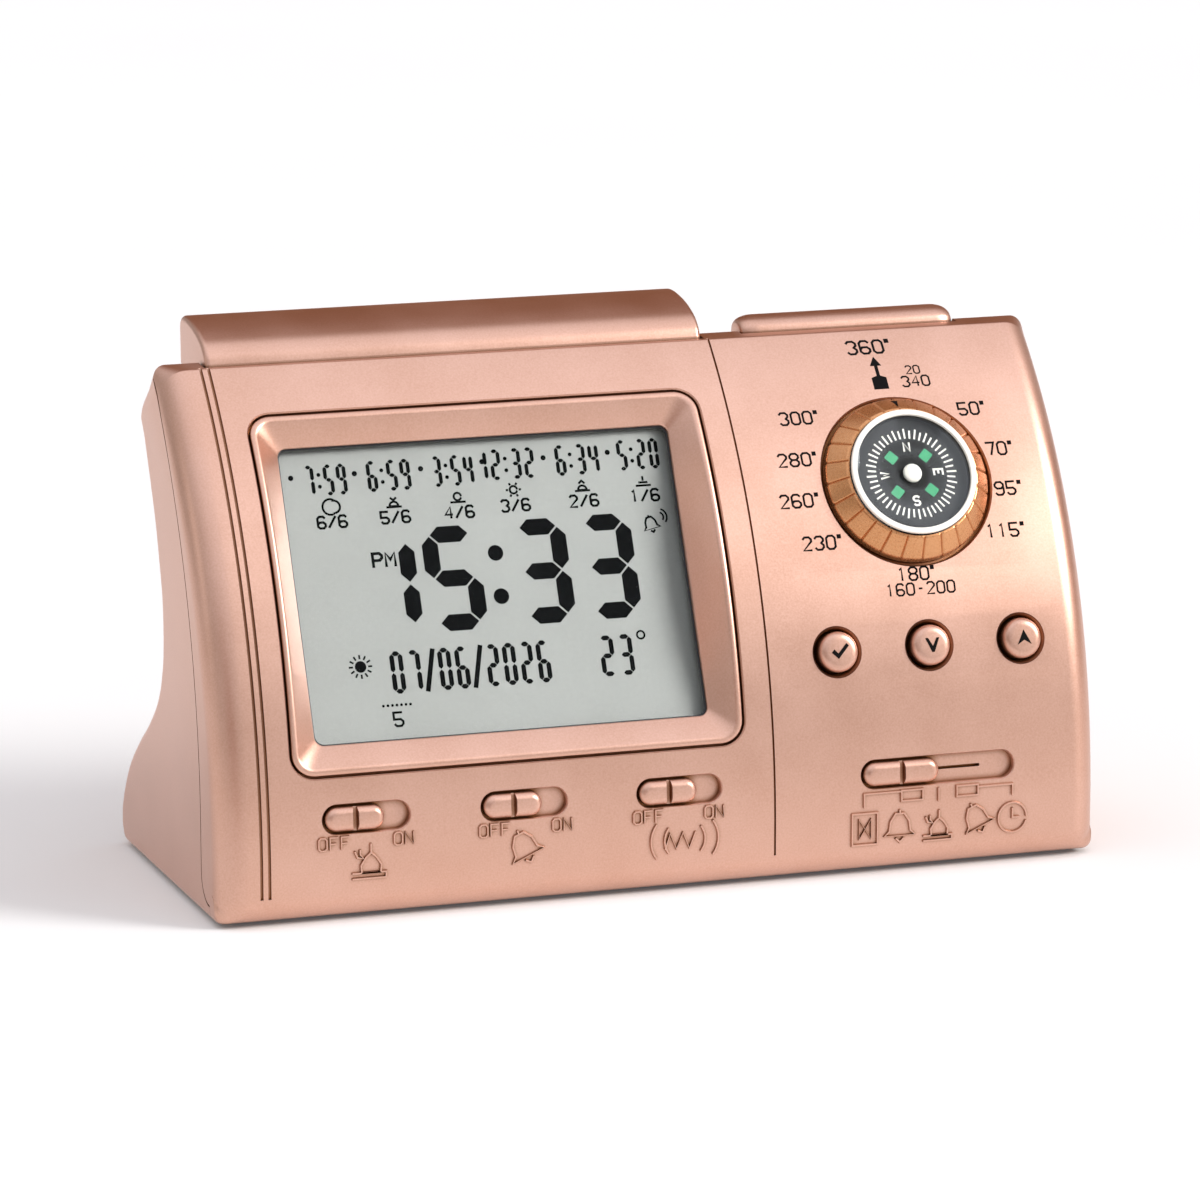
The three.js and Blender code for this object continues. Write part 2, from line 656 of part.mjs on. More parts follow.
const displayStakes = stakes(
  displayFrame,
  [-1, 1].flatMap((x) => [-1, 1].map((z) => [
    x * (MAIN_BOARD_WIDTH / 2 - POST_INSET),
    z * (MAIN_BOARD_HEIGHT / 2 - 2 * POST_INSET),
  ])),
  boardFront,
);
const bossAt = (x) => shifted(x, 0, BACK_SCREW_HEIGHT);
const mainBoard = cut(
  solidOf(
    block(
      about(0, MAIN_BOARD_WIDTH),
      [boardFront, boardFront + BOARD_THICKNESS],
      about(0, MAIN_BOARD_HEIGHT),
    ),
    displayFrame,
  ),
  displayStakes.holes,
  solidOf(rod(BOSS_RADIUS + 2 * GAP, 0, CASE_DEPTH), bossAt(-BACK_SCREW_X)),
);
const chipTop = boardFront + BOARD_THICKNESS + GAP;
const chipCover = solidOf(
  turned([[0, chipTop], [CHIP_RADIUS, chipTop], [CHIP_RADIUS / 2, chipTop + CHIP_HEIGHT * 0.8],
    [0, chipTop + CHIP_HEIGHT]]),
  displayFrame,
);

// Push buttons, their switches and the board behind them

const buttonXs = [-1, 0, 1].map((k) => BUTTON_MIDDLE_X + k * BUTTON_PITCH);
const keyFrame = panelFrame(BUTTON_MIDDLE_X, BUTTON_ANGLE);
const keySwitchFront = KEY_BOARD_DEPTH - GAP - SWITCH_HEIGHT;
const buttonFlange = WALL + GAP + SKIN / 2;
const buttonEnd = keySwitchFront - PLUNGER_HEIGHT - BUTTON_TRAVEL - RUN;
const button = (x) => solidOf(
  turned([
    [0, -BUTTON_PROUD],
    [BUTTON_RADIUS - BUTTON_EDGE, -BUTTON_PROUD],
    [BUTTON_RADIUS, BUTTON_EDGE - BUTTON_PROUD],
    [BUTTON_RADIUS, buttonFlange],
    [BUTTON_RADIUS + BUTTON_FLANGE, buttonFlange],
    [BUTTON_RADIUS + BUTTON_FLANGE, buttonFlange + BUTTON_FLANGE_THICKNESS],
    [BUTTON_STEM_RADIUS, buttonFlange + BUTTON_FLANGE_THICKNESS],
    [BUTTON_STEM_RADIUS, buttonEnd],
    [0, buttonEnd],
  ]),
  panelFrame(x, BUTTON_ANGLE),
);
const buttonHoleRadius = BUTTON_RADIUS + BUTTON_HOLE_GAP;
const buttonHole = (x) => solidOf(
  turned([
    [0, -OVERRUN],
    [buttonHoleRadius + BUTTON_SINK_DEPTH, -OVERRUN],
    [buttonHoleRadius + BUTTON_SINK_DEPTH, 0],
    [buttonHoleRadius, BUTTON_SINK_DEPTH],
    [buttonHoleRadius, OVERRUN],
    [0, OVERRUN],
  ]),
  panelFrame(x, BUTTON_ANGLE),
);

// Push switch that faces the -Y of its frame, from the face of its body at a distance
const pushSwitch = (frame, front) => join(
  solidOf(block(about(0, SWITCH_SIZE), [front, front + SWITCH_HEIGHT], about(0, SWITCH_SIZE)), frame),
  solidOf(rod(PLUNGER_RADIUS, front - PLUNGER_HEIGHT, front + SKIN), frame),
);
const keyStakes = stakes(keyFrame, [[-BUTTON_PITCH / 2, 0], [BUTTON_PITCH / 2, 0]], KEY_BOARD_DEPTH);
const keyBoard = cut(
  solidOf(
    block(
      about(0, KEY_BOARD_WIDTH),
      [KEY_BOARD_DEPTH, KEY_BOARD_DEPTH + BOARD_THICKNESS],
      about(0, KEY_BOARD_HEIGHT),
    ),
    keyFrame,
  ),
  keyStakes.holes,
);

// Sliders: a pill-shaped knob in a sunk slot, with a post through a slit into a slide switch

const sliderXs = [0, 1, 2].map((k) => SLIDER_FIRST_X + k * SLIDER_PITCH);
const travelOf = (slot, knob) => slot - knob - 2 * KNOB_GAP;
const stadium = (length, height, from, to, frame) => {
  const loop = roundedLoop(length, height, height / 2 - MERGE, 1, SLOT_STEPS);
  return solidOf(loft([inFrame(loop, frame, from), inFrame(loop, frame, to)], fromFront));
};
const postEnd = SLIDE_SWITCH_FRONT + KNOB_POST_HEIGHT;

function slider(x, slotLength, knobLength) {
  const travel = travelOf(slotLength, knobLength);
  const frame = panelFrame(x, SLIDER_ANGLE);
  const knobFrame = frame.clone().multiply(shifted(-travel / 2, 0, 0));
  const knobHeight = SLOT_HEIGHT - 2 * KNOB_GAP;
  const foot = SLOT_DEPTH - GAP;
  const levels = [[foot, 0], [KNOB_ROUND - KNOB_PROUD, 0], [-KNOB_PROUD * 0.4, 0.25], [-KNOB_PROUD, 1]];
  const pill = solidOf(loft(levels.map(([distance, share]) => {
    const height = knobHeight - 2 * share * KNOB_ROUND;
    const loop = roundedLoop(knobLength - 2 * share * KNOB_ROUND, height, height / 2 - MERGE, 1, SLOT_STEPS);
    return inFrame(loop, knobFrame, distance);
  }), fromFront));
  const notch = solidOf(
    block(about(0, KNOB_NOTCH_WIDTH), [-OVERRUN, KNOB_NOTCH_DEPTH - KNOB_PROUD], about(0, OVERRUN)),
    knobFrame,
  );
  const post = solidOf(
    block(about(0, KNOB_POST_WIDTH), [foot - SKIN, postEnd], about(0, KNOB_POST_HEIGHT)),
    knobFrame,
  );
  const slitLength = travel + KNOB_POST_WIDTH + 2 * GAP;
  const slit = (from, to) => solidOf(
    block(about(0, slitLength), [from, to], about(0, KNOB_POST_HEIGHT + 2 * GAP)),
    frame,
  );
  const bodyLength = slitLength + 2 * SLIDE_SWITCH_MARGIN;
  const bodyDepths = [SLIDE_SWITCH_FRONT, SLIDER_BOARD_DEPTH - GAP];
  const body = solidOf(block(about(0, bodyLength), bodyDepths, about(0, SLIDE_SWITCH_HEIGHT)), frame);
  return {
    knob: join(cut(pill, notch), post),
    cutters: [
      stadium(slotLength, SLOT_HEIGHT, -OVERRUN, SLOT_DEPTH, frame),
      slit(-OVERRUN, OVERRUN),
    ],
    body: cut(body, slit(-OVERRUN, postEnd + GAP)),
  };
}

const alarmSliders = sliderXs.map((x) => slider(x, SLOT_LENGTH, KNOB_LENGTH));
const modeSlider = slider(MODE_X, MODE_SLOT_LENGTH, MODE_KNOB_LENGTH);
const sliderFrame = panelFrame(0, SLIDER_ANGLE);
const sliderStakeXs = [...sliderXs.map((x) => x + SLIDER_PITCH / 2), SLIDER_BOARD_RIGHT - POST_INSET];
const sliderStakes = stakes(sliderFrame, sliderStakeXs.map((x) => [x, 0]), SLIDER_BOARD_DEPTH);
const sliderBoard = cut(
  solidOf(
    block(
      [SLIDER_BOARD_LEFT, SLIDER_BOARD_RIGHT],
      [SLIDER_BOARD_DEPTH, SLIDER_BOARD_DEPTH + BOARD_THICKNESS],
      [-SLIDER_BOARD_LOW, SLIDER_BOARD_HIGH],
    ),
    sliderFrame,
  ),
  sliderStakes.holes,
);

// Compass: a ring that turns in a sunk dish round a fixed cup, whose collar holds it in

const compassFrame = panelFrame(COMPASS_X, COMPASS_ANGLE);
const inCompass = (geometry) => solidOf(geometry, compassFrame);
const dishRadius = RING_RADIUS + DISH_GAP;
const dishBack = DISH_DEPTH + DISH_FLOOR;
const dishBoss = inCompass(rod(dishRadius + DISH_RIM, WALL - SKIN / 2, dishBack, DIAL_STEPS));
const dishCutters = [
  inCompass(rod(dishRadius, -OVERRUN, DISH_DEPTH, DIAL_STEPS)),
  inCompass(rod(CUP_RADIUS + GAP, -OVERRUN, OVERRUN, DIAL_STEPS)),
];

function compassRing() {
  const bore = CUP_RADIUS + RUN;
  const slope = v2(RING_RADIUS - RING_TOP_RADIUS, RING_PROUD - RING_SHOULDER).normalize();
  const half = RING_LINE_SHARE / RING_LINES;
  const stations = Array.from({ length: RING_LINES }, (_, k) => k / RING_LINES).flatMap((turn) => [
    [turn - half, 0],
    [turn, RING_LINE_DEPTH],
    [turn + half, 0],
    [turn + 0.5 / RING_LINES, 0],
  ]);
  return inCompass(loft(stations.map(([turn, sunk]) => {
    const angle = turn * 4 * QUARTER;
    const [inward, down] = [sunk * slope.y, sunk * slope.x];
    return [
      [bore, DISH_DEPTH - GAP],
      [RING_RADIUS, DISH_DEPTH - GAP],
      [RING_RADIUS - inward, down - RING_SHOULDER],
      [RING_TOP_RADIUS - inward, down - RING_PROUD],
      [bore, -RING_PROUD],
    ].map(([radius, along]) => v3(radius * Math.cos(angle), along, radius * Math.sin(angle)));
  })));
}

const cupInner = CUP_RADIUS - CUP_WALL;
const compassCup = inCompass(turned([
  [0, CUP_FLOOR],
  [cupInner, CUP_FLOOR],
  [cupInner, -CUP_RIM],
  [CUP_RADIUS, -CUP_RIM],
  [CUP_RADIUS, dishBack + GAP],
  [CUP_RADIUS + CUP_FLANGE, dishBack + GAP],
  [CUP_RADIUS + CUP_FLANGE, CUP_FLOOR + CUP_WALL],
  [0, CUP_FLOOR + CUP_WALL],
], DIAL_STEPS));
const collarTop = -RING_PROUD - RUN - COLLAR_THICKNESS;
const lensRadius = lerp(COLLAR_INNER, CUP_RADIUS, 0.6);
const collarLip = collarTop + COLLAR_THICKNESS / 2;
const compassCollar = inCompass(turned([
  [COLLAR_INNER, collarTop],
  [COLLAR_OUTER, collarTop],
  [COLLAR_OUTER, collarTop + COLLAR_THICKNESS],
  [lensRadius + GAP, collarTop + COLLAR_THICKNESS],
  [lensRadius + GAP, collarLip],
  [COLLAR_INNER, collarLip],
], DIAL_STEPS));
const lensTop = collarLip + RUN;
const compassLens = inCompass(rod(lensRadius, lensTop, lensTop + COMPASS_LENS_THICKNESS, DIAL_STEPS));
const cardTop = -CARD_TOP;
const compassCard = inCompass(turned([
  [0, cardTop - CAP_HEIGHT],
  [CAP_RADIUS, cardTop - CAP_HEIGHT],
  [CAP_RADIUS, cardTop],
  [CARD_RADIUS, cardTop],
  [CARD_RADIUS, cardTop + CARD_THICKNESS],
  [CAP_RADIUS, cardTop + CARD_THICKNESS],
  [CAP_RADIUS, cardTop + 2 * CARD_THICKNESS],
  [PIVOT_RADIUS + RUN, cardTop + 2 * CARD_THICKNESS],
  [PIVOT_RADIUS + RUN, cardTop],
  [0, cardTop],
], DIAL_STEPS));
const compassPivot = inCompass(turned([
  [0, cardTop + RUN],
  [PIVOT_RADIUS, cardTop + RUN],
  [PIVOT_RADIUS, CUP_FLOOR - GAP - CUP_WALL],
  [CAP_RADIUS, CUP_FLOOR - GAP - CUP_WALL],
  [CAP_RADIUS, CUP_FLOOR - GAP],
  [0, CUP_FLOOR - GAP],
]));

// Snooze bar and press pad: hollow lids with a stem each, and the board with their switches

const outlineFrom = (shares, [front, back], [rim, crest]) =>
  shares.map(([depth, height]) => v2(lerp(front, back, depth), lerp(rim, crest, height)));
const switchTop = TOP_BOARD_HEIGHT + BOARD_THICKNESS + GAP + SWITCH_HEIGHT;
const topBoardY = (TOP_BOARD_FRONT + TOP_BOARD_BACK) / 2;

function lid(outline, [left, right], roll, reach, travel, openBelow) {
  const inside = movedIn(outline, outline.map(() => BAR_WALL));
  inside[0].y -= OVERRUN;
  inside[inside.length - 1].y -= OVERRUN;
  const rolls = outline.map(() => roll);
  const whole = rolledSolid(outline, rolls, [left, right], 0, LID_STEPS, reach);
  const end = BAR_WALL + roll * (reach - 1);
  const stem = solidOf(
    rod(STEM_RADIUS, switchTop + PLUNGER_HEIGHT + travel + RUN, openBelow),
    upright((left + right) / 2, topBoardY),
  );
  return join(cut(whole, prismAcross(inside, [left + end, right - end])), stem);
}

const barOutline = outlineFrom(BAR_SHARES, [BAR_FRONT, BAR_BACK], [BAR_RIM, BAR_CREST]);
const padOutline = outlineFrom(PAD_SHARES, [PAD_FRONT, PAD_BACK], [PAD_RIM, PAD_CREST]);
const barSpan = [BAR_LEFT, BAR_RIGHT];
const padSpan = [PAD_LEFT, PAD_RIGHT];
const snoozeBar = lid(barOutline, barSpan, BAR_END_ROLL, 1, BAR_TRAVEL, BAR_CREST - 2 * BAR_WALL);
const pressPad = lid(padOutline, padSpan, PAD_END_ROLL, PAD_END_REACH, PAD_TRAVEL, PAD_CREST - BAR_WALL);
const topSwitchFrame = (x) => new THREE.Matrix4().makeRotationX(-QUARTER).setPosition(x, topBoardY, 0);
const topSwitch = ([left, right]) => pushSwitch(topSwitchFrame((left + right) / 2), -switchTop);
const topBoard = solidOf(block(
  [TOP_BOARD_LEFT, TOP_BOARD_RIGHT],
  [TOP_BOARD_FRONT, TOP_BOARD_BACK],
  [TOP_BOARD_HEIGHT, TOP_BOARD_HEIGHT + BOARD_THICKNESS],
));

const widened = ([from, to], by) => [from - by, to + by];
const barWell = widened(barSpan, BAR_GAP);
const barCut = solidOf(block(
  barWell,
  [BAR_FRONT - BAR_GAP, CASE_DEPTH],
  [BAR_RIM - BAR_TRAVEL - GAP, BAR_CREST + OVERRUN],
));
const padCut = solidOf(block(
  widened(padSpan, BAR_GAP),
  [PAD_FRONT - BAR_GAP, PAD_BACK + BAR_GAP],
  [PAD_RIM - PAD_TRAVEL - GAP, PAD_CREST + OVERRUN],
));
const wellSides = [[barWell[0] - WALL, barWell[0]], [barWell[1], barWell[1] + WALL]].map((across) =>
  solidOf(block(across, [BAR_FRONT - WALL, BAR_BACK], [PLINTH_FOOT, BAR_CREST])).intersect(rooted),
);
const plinthSpan = widened(barSpan, -BAR_WALL - BAR_GAP);
const plinthBack = BAR_BACK - 2 * BAR_WALL + BAR_GAP;
const plinthOutline = (inset, up) => [
  [PLINTH_FRONT, PLINTH_FOOT - up],
  [PLINTH_FRONT, PLINTH_TOP + up],
  [plinthBack - inset, PLINTH_TOP + up],
  [plinthBack - inset, PLINTH_WAIST],
  [plinthBack - inset - PLINTH_STEP, PLINTH_FOOT - up],
];
const plinth = prismAcross(plinthOutline(0, 0), plinthSpan);
const plinthHollow = prismAcross(plinthOutline(PLINTH_WALL, 0), widened(plinthSpan, -PLINTH_WALL));

// Batteries in the boot of the rear casing

const cellBodyLength = CELL_LENGTH - CELL_NUB_LENGTH;
const bayLength = CELL_LENGTH + CONTACT_SPRING_LENGTH + 2 * (CONTACT_THICKNESS + 2 * GAP);
const bay = about(CELL_MIDDLE_X, bayLength);
const cellYs = [CELL_FRONT_Y, CELL_FRONT_Y + CELL_PITCH];
function cell(y, side) {
  const nubTip = bay[side > 0 ? 1 : 0] - side * (CONTACT_THICKNESS + 2 * GAP);
  const frame = lengthwise(y, CELL_HEIGHT).premultiply(shifted(nubTip, 0, 0));
  return solidOf(turned([
    [0, 0],
    [CELL_NUB_RADIUS, 0],
    [CELL_NUB_RADIUS, -side * CELL_NUB_LENGTH],
    [CELL_RADIUS - SKIN, -side * CELL_NUB_LENGTH],
    [CELL_RADIUS, -side * (CELL_NUB_LENGTH + SKIN)],
    [CELL_RADIUS, -side * (CELL_LENGTH - SKIN)],
    [CELL_RADIUS - SKIN, -side * CELL_LENGTH],
    [0, -side * CELL_LENGTH],
  ]), frame);
}
// Contact plate at one end of the bay, with a coil for each cell whose flat end it meets
function contact(side, ys, springYs) {
  const wall = bay[side > 0 ? 1 : 0] - side * GAP;
  const face = wall - side * CONTACT_THICKNESS;
  const across = side > 0 ? [face, wall] : [wall, face];
  const sheet = solidOf(block(
    across,
    [ys[0] - CONTACT_HEIGHT / 2, ys[ys.length - 1] + CONTACT_REACH],
    about(CELL_HEIGHT, CONTACT_HEIGHT),
  ));
  const coils = springYs.map((y) => {
    const turns = span(2 * COILS).map((share, k) => [
      CONTACT_SPRING_RADIUS * lerp(1, 0.6, share) - (k % 2) * SKIN,
      -side * lerp(-SKIN, CONTACT_SPRING_LENGTH, share),
    ]);
    const ends = [turns[0][1], turns[turns.length - 1][1]];
    const frame = lengthwise(y, CELL_HEIGHT).premultiply(shifted(face, 0, 0));
    return solidOf(turned([[0, ends[0]], ...turns, [0, ends[1]]]), frame);
  });
  return join(sheet, coils);
}

const bayFloor = FOOT_PROUD + WALL;
const bayRoof = CELL_HEIGHT + CELL_RADIUS + SKIN;
const bayFront = CELL_FRONT_Y - CELL_RADIUS - SKIN;
const doorTopY = backAt(DOOR_TOP);
const bayOutline = (grow) => [
  [bayFront - grow, bayFloor - 2 * grow],
  [bayFront - grow, bayRoof + grow],
  [doorTopY - BAY_RISE, bayRoof + grow],
  [doorTopY - grow, DOOR_TOP + BAY_RISE / 2],
  [CASE_DEPTH + OVERRUN, DOOR_TOP + BAY_RISE / 2],
  [CASE_DEPTH + OVERRUN, bayFloor - 2 * grow],
];
const bayWalls = cut(
  prismAcross(bayOutline(BAY_WALL), widened(bay, BAY_WALL)).intersect(rooted),
  prismAcross(bayOutline(0), bay).intersect(hollow),
);

// Y of the boot's slope at a height
function backAt(height) {
  const below = BACK.findIndex((point, k) => k > BACK_STEPS / 2 && point.y < height);
  const [over, under] = [BACK[below - 1], BACK[below]];
  return lerp(over.x, under.x, (over.y - height) / (over.y - under.y));
}

const slopeTop = v2(doorTopY, DOOR_TOP);
const slopeFoot = v2(backAt(DOOR_HINGE), DOOR_HINGE);
const downSlope = slopeFoot.clone().sub(slopeTop).normalize();
const offSlope = v2(-downSlope.y, downSlope.x);
const onSlope = (start, down, off) =>
  start.clone().addScaledVector(downSlope, down).addScaledVector(offSlope, off);
const slopeSlab = (topIn, footIn, across) => prismAcross([
  onSlope(slopeTop, topIn, OVERRUN),
  onSlope(slopeFoot, -footIn, OVERRUN),
  onSlope(slopeFoot, -footIn, -OVERRUN / 2),
  onSlope(slopeTop, topIn, -OVERRUN / 2),
], across);
const doorSpan = widened(bay, -SKIN);
const doorHole = slopeSlab(0, 0, widened(doorSpan, DOOR_GAP));
const barrelRadius = DOOR_WALL / 2;
const hinge = onSlope(slopeFoot, -barrelRadius - DOOR_GAP, -barrelRadius);
const hingeFrame = lengthwise(hinge.x, hinge.y);
const door = join(
  cut(outer, caseSolid(DOOR_WALL)).intersect(slopeSlab(DOOR_GAP, barrelRadius + DOOR_GAP, doorSpan)),
  solidOf(rod(barrelRadius, ...doorSpan), hingeFrame),
  solidOf(rod(DOOR_PIN_RADIUS, ...widened(doorSpan, DOOR_PIN_LENGTH)), hingeFrame),
);
const hingeHole = solidOf(
  rod(DOOR_PIN_RADIUS + RUN, ...widened(doorSpan, DOOR_PIN_LENGTH + GAP)),
  hingeFrame,
);

// Speaker behind slots in the waist of the rear casing

const speakerFrame = shifted(SPEAKER_X, 0, SPEAKER_HEIGHT);
const inSpeaker = (geometry) => solidOf(geometry, speakerFrame);
const rimBack = SPEAKER_SEAT - SPEAKER_RIM;
const basketBack = SPEAKER_SEAT - SPEAKER_DEPTH;
const speakerBasket = inSpeaker(turned([
  [SPEAKER_CONE_RADIUS + GAP, rimBack],
  [SPEAKER_CONE_RADIUS + GAP, SPEAKER_SEAT],
  [SPEAKER_RADIUS, SPEAKER_SEAT],
  [SPEAKER_RADIUS, rimBack],
  [SPEAKER_CONE_RADIUS + SPEAKER_RIM, rimBack],
  [MAGNET_RADIUS + 2 * SPEAKER_RIM, basketBack],
  [VOICE_RADIUS, basketBack],
  [VOICE_RADIUS, basketBack + SPEAKER_RIM],
  [MAGNET_RADIUS + SPEAKER_RIM, basketBack + SPEAKER_RIM],
]));
const speakerCone = inSpeaker(turned([
  [0, SPEAKER_SEAT - 2 * SPEAKER_RIM],
  [VOICE_RADIUS, SPEAKER_SEAT - 2 * SPEAKER_RIM],
  [SPEAKER_CONE_RADIUS, SPEAKER_SEAT],
  [SPEAKER_CONE_RADIUS, SPEAKER_SEAT - SKIN],
  [VOICE_RADIUS, SPEAKER_SEAT - 2 * SPEAKER_RIM - SKIN],
  [0, SPEAKER_SEAT - 2 * SPEAKER_RIM - SKIN],
]));
const speakerMagnet = inSpeaker(rod(MAGNET_RADIUS, basketBack - GAP - MAGNET_THICKNESS, basketBack - GAP));
const seatRadius = SPEAKER_RADIUS + GAP;
const speakerSeat = inSpeaker(turned([
  [seatRadius - SPEAKER_COLLAR, SPEAKER_SEAT + GAP],
  [seatRadius, SPEAKER_SEAT + GAP],
  [seatRadius, rimBack],
  [seatRadius + SPEAKER_COLLAR, rimBack],
  [seatRadius + SPEAKER_COLLAR, CASE_DEPTH],
  [seatRadius - SPEAKER_COLLAR, CASE_DEPTH],
], ROUND_STEPS)).intersect(rooted);
const grille = Array.from({ length: GRILLE_SLOTS }, (_, k) => {
  const up = (k - (GRILLE_SLOTS - 1) / 2) * GRILLE_PITCH;
  const length = 2 * Math.sqrt(SPEAKER_CONE_RADIUS ** 2 - up ** 2);
  return inSpeaker(block(about(0, length), [SPEAKER_SEAT, CASE_DEPTH], about(up, GRILLE_SLOT)));
});

// Screws: a head with a slot, and the holes that they need

function screw(length) {
  const whole = solidOf(turned([
    [0, -length],
    [SCREW_RADIUS, -length],
    [SCREW_RADIUS, 0],
    [SCREW_HEAD_RADIUS, 0],
    [SCREW_HEAD_RADIUS, SCREW_HEAD_HEIGHT],
    [0, SCREW_HEAD_HEIGHT],
  ]));
  const slot = solidOf(block(
    about(0, 2 * SCREW_HEAD_RADIUS + OVERRUN),
    [SCREW_HEAD_HEIGHT - SCREW_DRIVE_DEPTH, OVERRUN],
    about(0, SCREW_DRIVE_WIDTH),
  ));
  return cut(whole, slot);
}
const moved = (solid, frame) => solidOf(geometryOf(solid), frame);
const sides = [-1, 1];
const backScrewFrame = (side) => shifted(side * BACK_SCREW_X, BACK_SCREW_SEAT + GAP, BACK_SCREW_HEIGHT);
const baseScrewFrame = (side) => new THREE.Matrix4()
  .makeRotationX(-QUARTER)
  .setPosition(side * BASE_SCREW_X, BASE_SCREW_Y, BASE_SCREW_SEAT - GAP);
const holeRadius = SCREW_RADIUS + RUN;
const screwHole = (frame, length) => solidOf(rod(holeRadius, -length - GAP, OVERRUN), frame);
const headHole = (frame, end) => solidOf(rod(SCREW_HEAD_RADIUS + GAP, -GAP, end), frame);

const bossEnd = BACK_SCREW_SEAT - WALL;
const frontBosses = sides.map((side) =>
  solidOf(rod(BOSS_RADIUS, 0, bossEnd - GAP), bossAt(side * BACK_SCREW_X)).intersect(rooted));
const rearTubes = sides.map((side) =>
  solidOf(rod(BOSS_RADIUS, bossEnd, CASE_DEPTH), bossAt(side * BACK_SCREW_X)).intersect(rooted));
const baseBossTop = BASE_SCREW_SEAT + WALL;
const baseLugs = sides.map((side) => solidOf(block(
  about(side * BASE_SCREW_X, 2 * BOSS_RADIUS),
  [0, BASE_SCREW_Y + BOSS_RADIUS],
  [baseBossTop + GAP, baseBossTop + GAP + LUG_HEIGHT],
)).intersect(rooted));
const baseBosses = sides.map((side) => solidOf(
  rod(BOSS_RADIUS + SKIN, 0, baseBossTop),
  upright(side * BASE_SCREW_X, BASE_SCREW_Y),
).intersect(rooted));

// Feet let into the base

const footPlaces = [FOOT_FRONT_Y, FOOT_BACK_Y].flatMap((y) =>
  sides.map((side) => [side * (CASE_SIDE - FOOT_INSET_X), y]));
const foot = ([x, y]) => solidOf(rod(FOOT_RADIUS, 0, FOOT_PROUD + FOOT_SEAT - GAP), upright(x, y));
const footSeat = ([x, y]) => solidOf(rod(FOOT_RADIUS + GAP, -OVERRUN, FOOT_PROUD + FOOT_SEAT), upright(x, y));

// Shelf ribs for the board under the top

const shelfRibs = SHELF_SHARES.map((share) => solidOf(block(
  about(lerp(TOP_BOARD_LEFT, TOP_BOARD_RIGHT, share), SHELF_RIB),
  [TOP_BOARD_FRONT, CASE_DEPTH],
  [TOP_BOARD_HEIGHT - GAP - SHELF_DEPTH, TOP_BOARD_HEIGHT - GAP],
)).intersect(rooted));

// Grooves down the panel, drawn on the arc

const grooveArc = (depth) => span(FACE_STEPS).map((share) => onFace(share * RIDGE_ANGLE, depth));
const grooveOutline = [
  [-OVERRUN, GROOVE_START],
  ...grooveArc(-OVERRUN),
  ...grooveArc(GROOVE_DEPTH).reverse(),
  [GROOVE_DEPTH, GROOVE_START],
];
const grooves = [
  LEFT_GROOVE_X - LEFT_GROOVE_PITCH / 2,
  LEFT_GROOVE_X + LEFT_GROOVE_PITCH / 2,
  RIGHT_GROOVE_X,
].map((x) => prismAcross(grooveOutline, about(x, GROOVE_WIDTH)));

// The two casings

const frontShell = cut(outer.intersect(inFrontOfSeam(0)), hollow);
const frontCasing = cut(
  join(
    frontShell,
    dishBoss,
    frontBosses,
    baseLugs,
    wellSides.map((side) => side.intersect(inFrontOfSeam(0))),
    [...displayStakes.posts, ...keyStakes.posts, ...sliderStakes.posts].map((post) =>
      post.intersect(rooted)),
  ),
  barCut,
  padCut,
  displayHole,
  dishCutters,
  buttonXs.map(buttonHole),
  [...alarmSliders, modeSlider].flatMap((each) => each.cutters),
  grooves,
  sides.map((side) => screwHole(backScrewFrame(side), SCREW_LENGTH)),
  sides.map((side) => screwHole(baseScrewFrame(side), SCREW_LENGTH)),
);

const rearShell = cut(outer, hollow, inFrontOfSeam(SEAM_GAP));
const rearCasing = cut(
  join(
    cut(rearShell, barCut),
    wellSides.map((side) => cut(side, inFrontOfSeam(SEAM_GAP))),
    cut(plinth, inFrontOfSeam(SEAM_GAP)),
    rearTubes,
    baseBosses,
    bayWalls,
    speakerSeat,
    shelfRibs,
  ),
  plinthHollow,
  padCut,
  grille,
  doorHole,
  hingeHole,
  footPlaces.map(footSeat),
  sides.flatMap((side) => [
    screwHole(backScrewFrame(side), SCREW_LENGTH),
    headHole(backScrewFrame(side), CASE_DEPTH),
    screwHole(baseScrewFrame(side), SCREW_LENGTH),
    headHole(baseScrewFrame(side), BASE_SCREW_SEAT + OVERRUN),
  ]),
);

// The clock, with its pieces placed as in the closed, resting state

const clock = new THREE.Group();

function place(name, solid, material) {
  const mesh = new THREE.Mesh(geometryOf(solid), material);
  mesh.name = name;
  clock.add(mesh);
}

place("front_casing", frontCasing, ROSE_PAINT);
place("rear_casing", rearCasing, ROSE_PAINT);
place("display_bezel", bezel, ROSE_PAINT);
place("display_window", displayLens, CLEAR);
place("lcd_glass", displayGlass, LCD_GREY);
place("lcd_reflector", reflector, WHITE_PLASTIC);
place("contact_strip_upper", contactStrip(1), DARK_RUBBER);
place("contact_strip_lower", contactStrip(-1), DARK_RUBBER);
place("lcd_bracket", displayBracket, WHITE_PLASTIC);
place("main_board", mainBoard, BOARD_GREEN);
place("chip_cover", chipCover, BLACK_PLASTIC);

place("snooze_bar", snoozeBar, ROSE_PAINT);
place("snooze_switch", topSwitch(barSpan), BLACK_PLASTIC);
place("press_pad", pressPad, ROSE_PAINT);
place("press_pad_switch", topSwitch(padSpan), BLACK_PLASTIC);
place("top_board", topBoard, BOARD_GREEN);

["set", "down", "up"].forEach((name, k) => {
  const frame = panelFrame(buttonXs[k], BUTTON_ANGLE);
  place(name + "_button", button(buttonXs[k]), ROSE_TRIM);
  place(name + "_switch", pushSwitch(frame, keySwitchFront), BLACK_PLASTIC);
});
place("key_board", keyBoard, BOARD_GREEN);

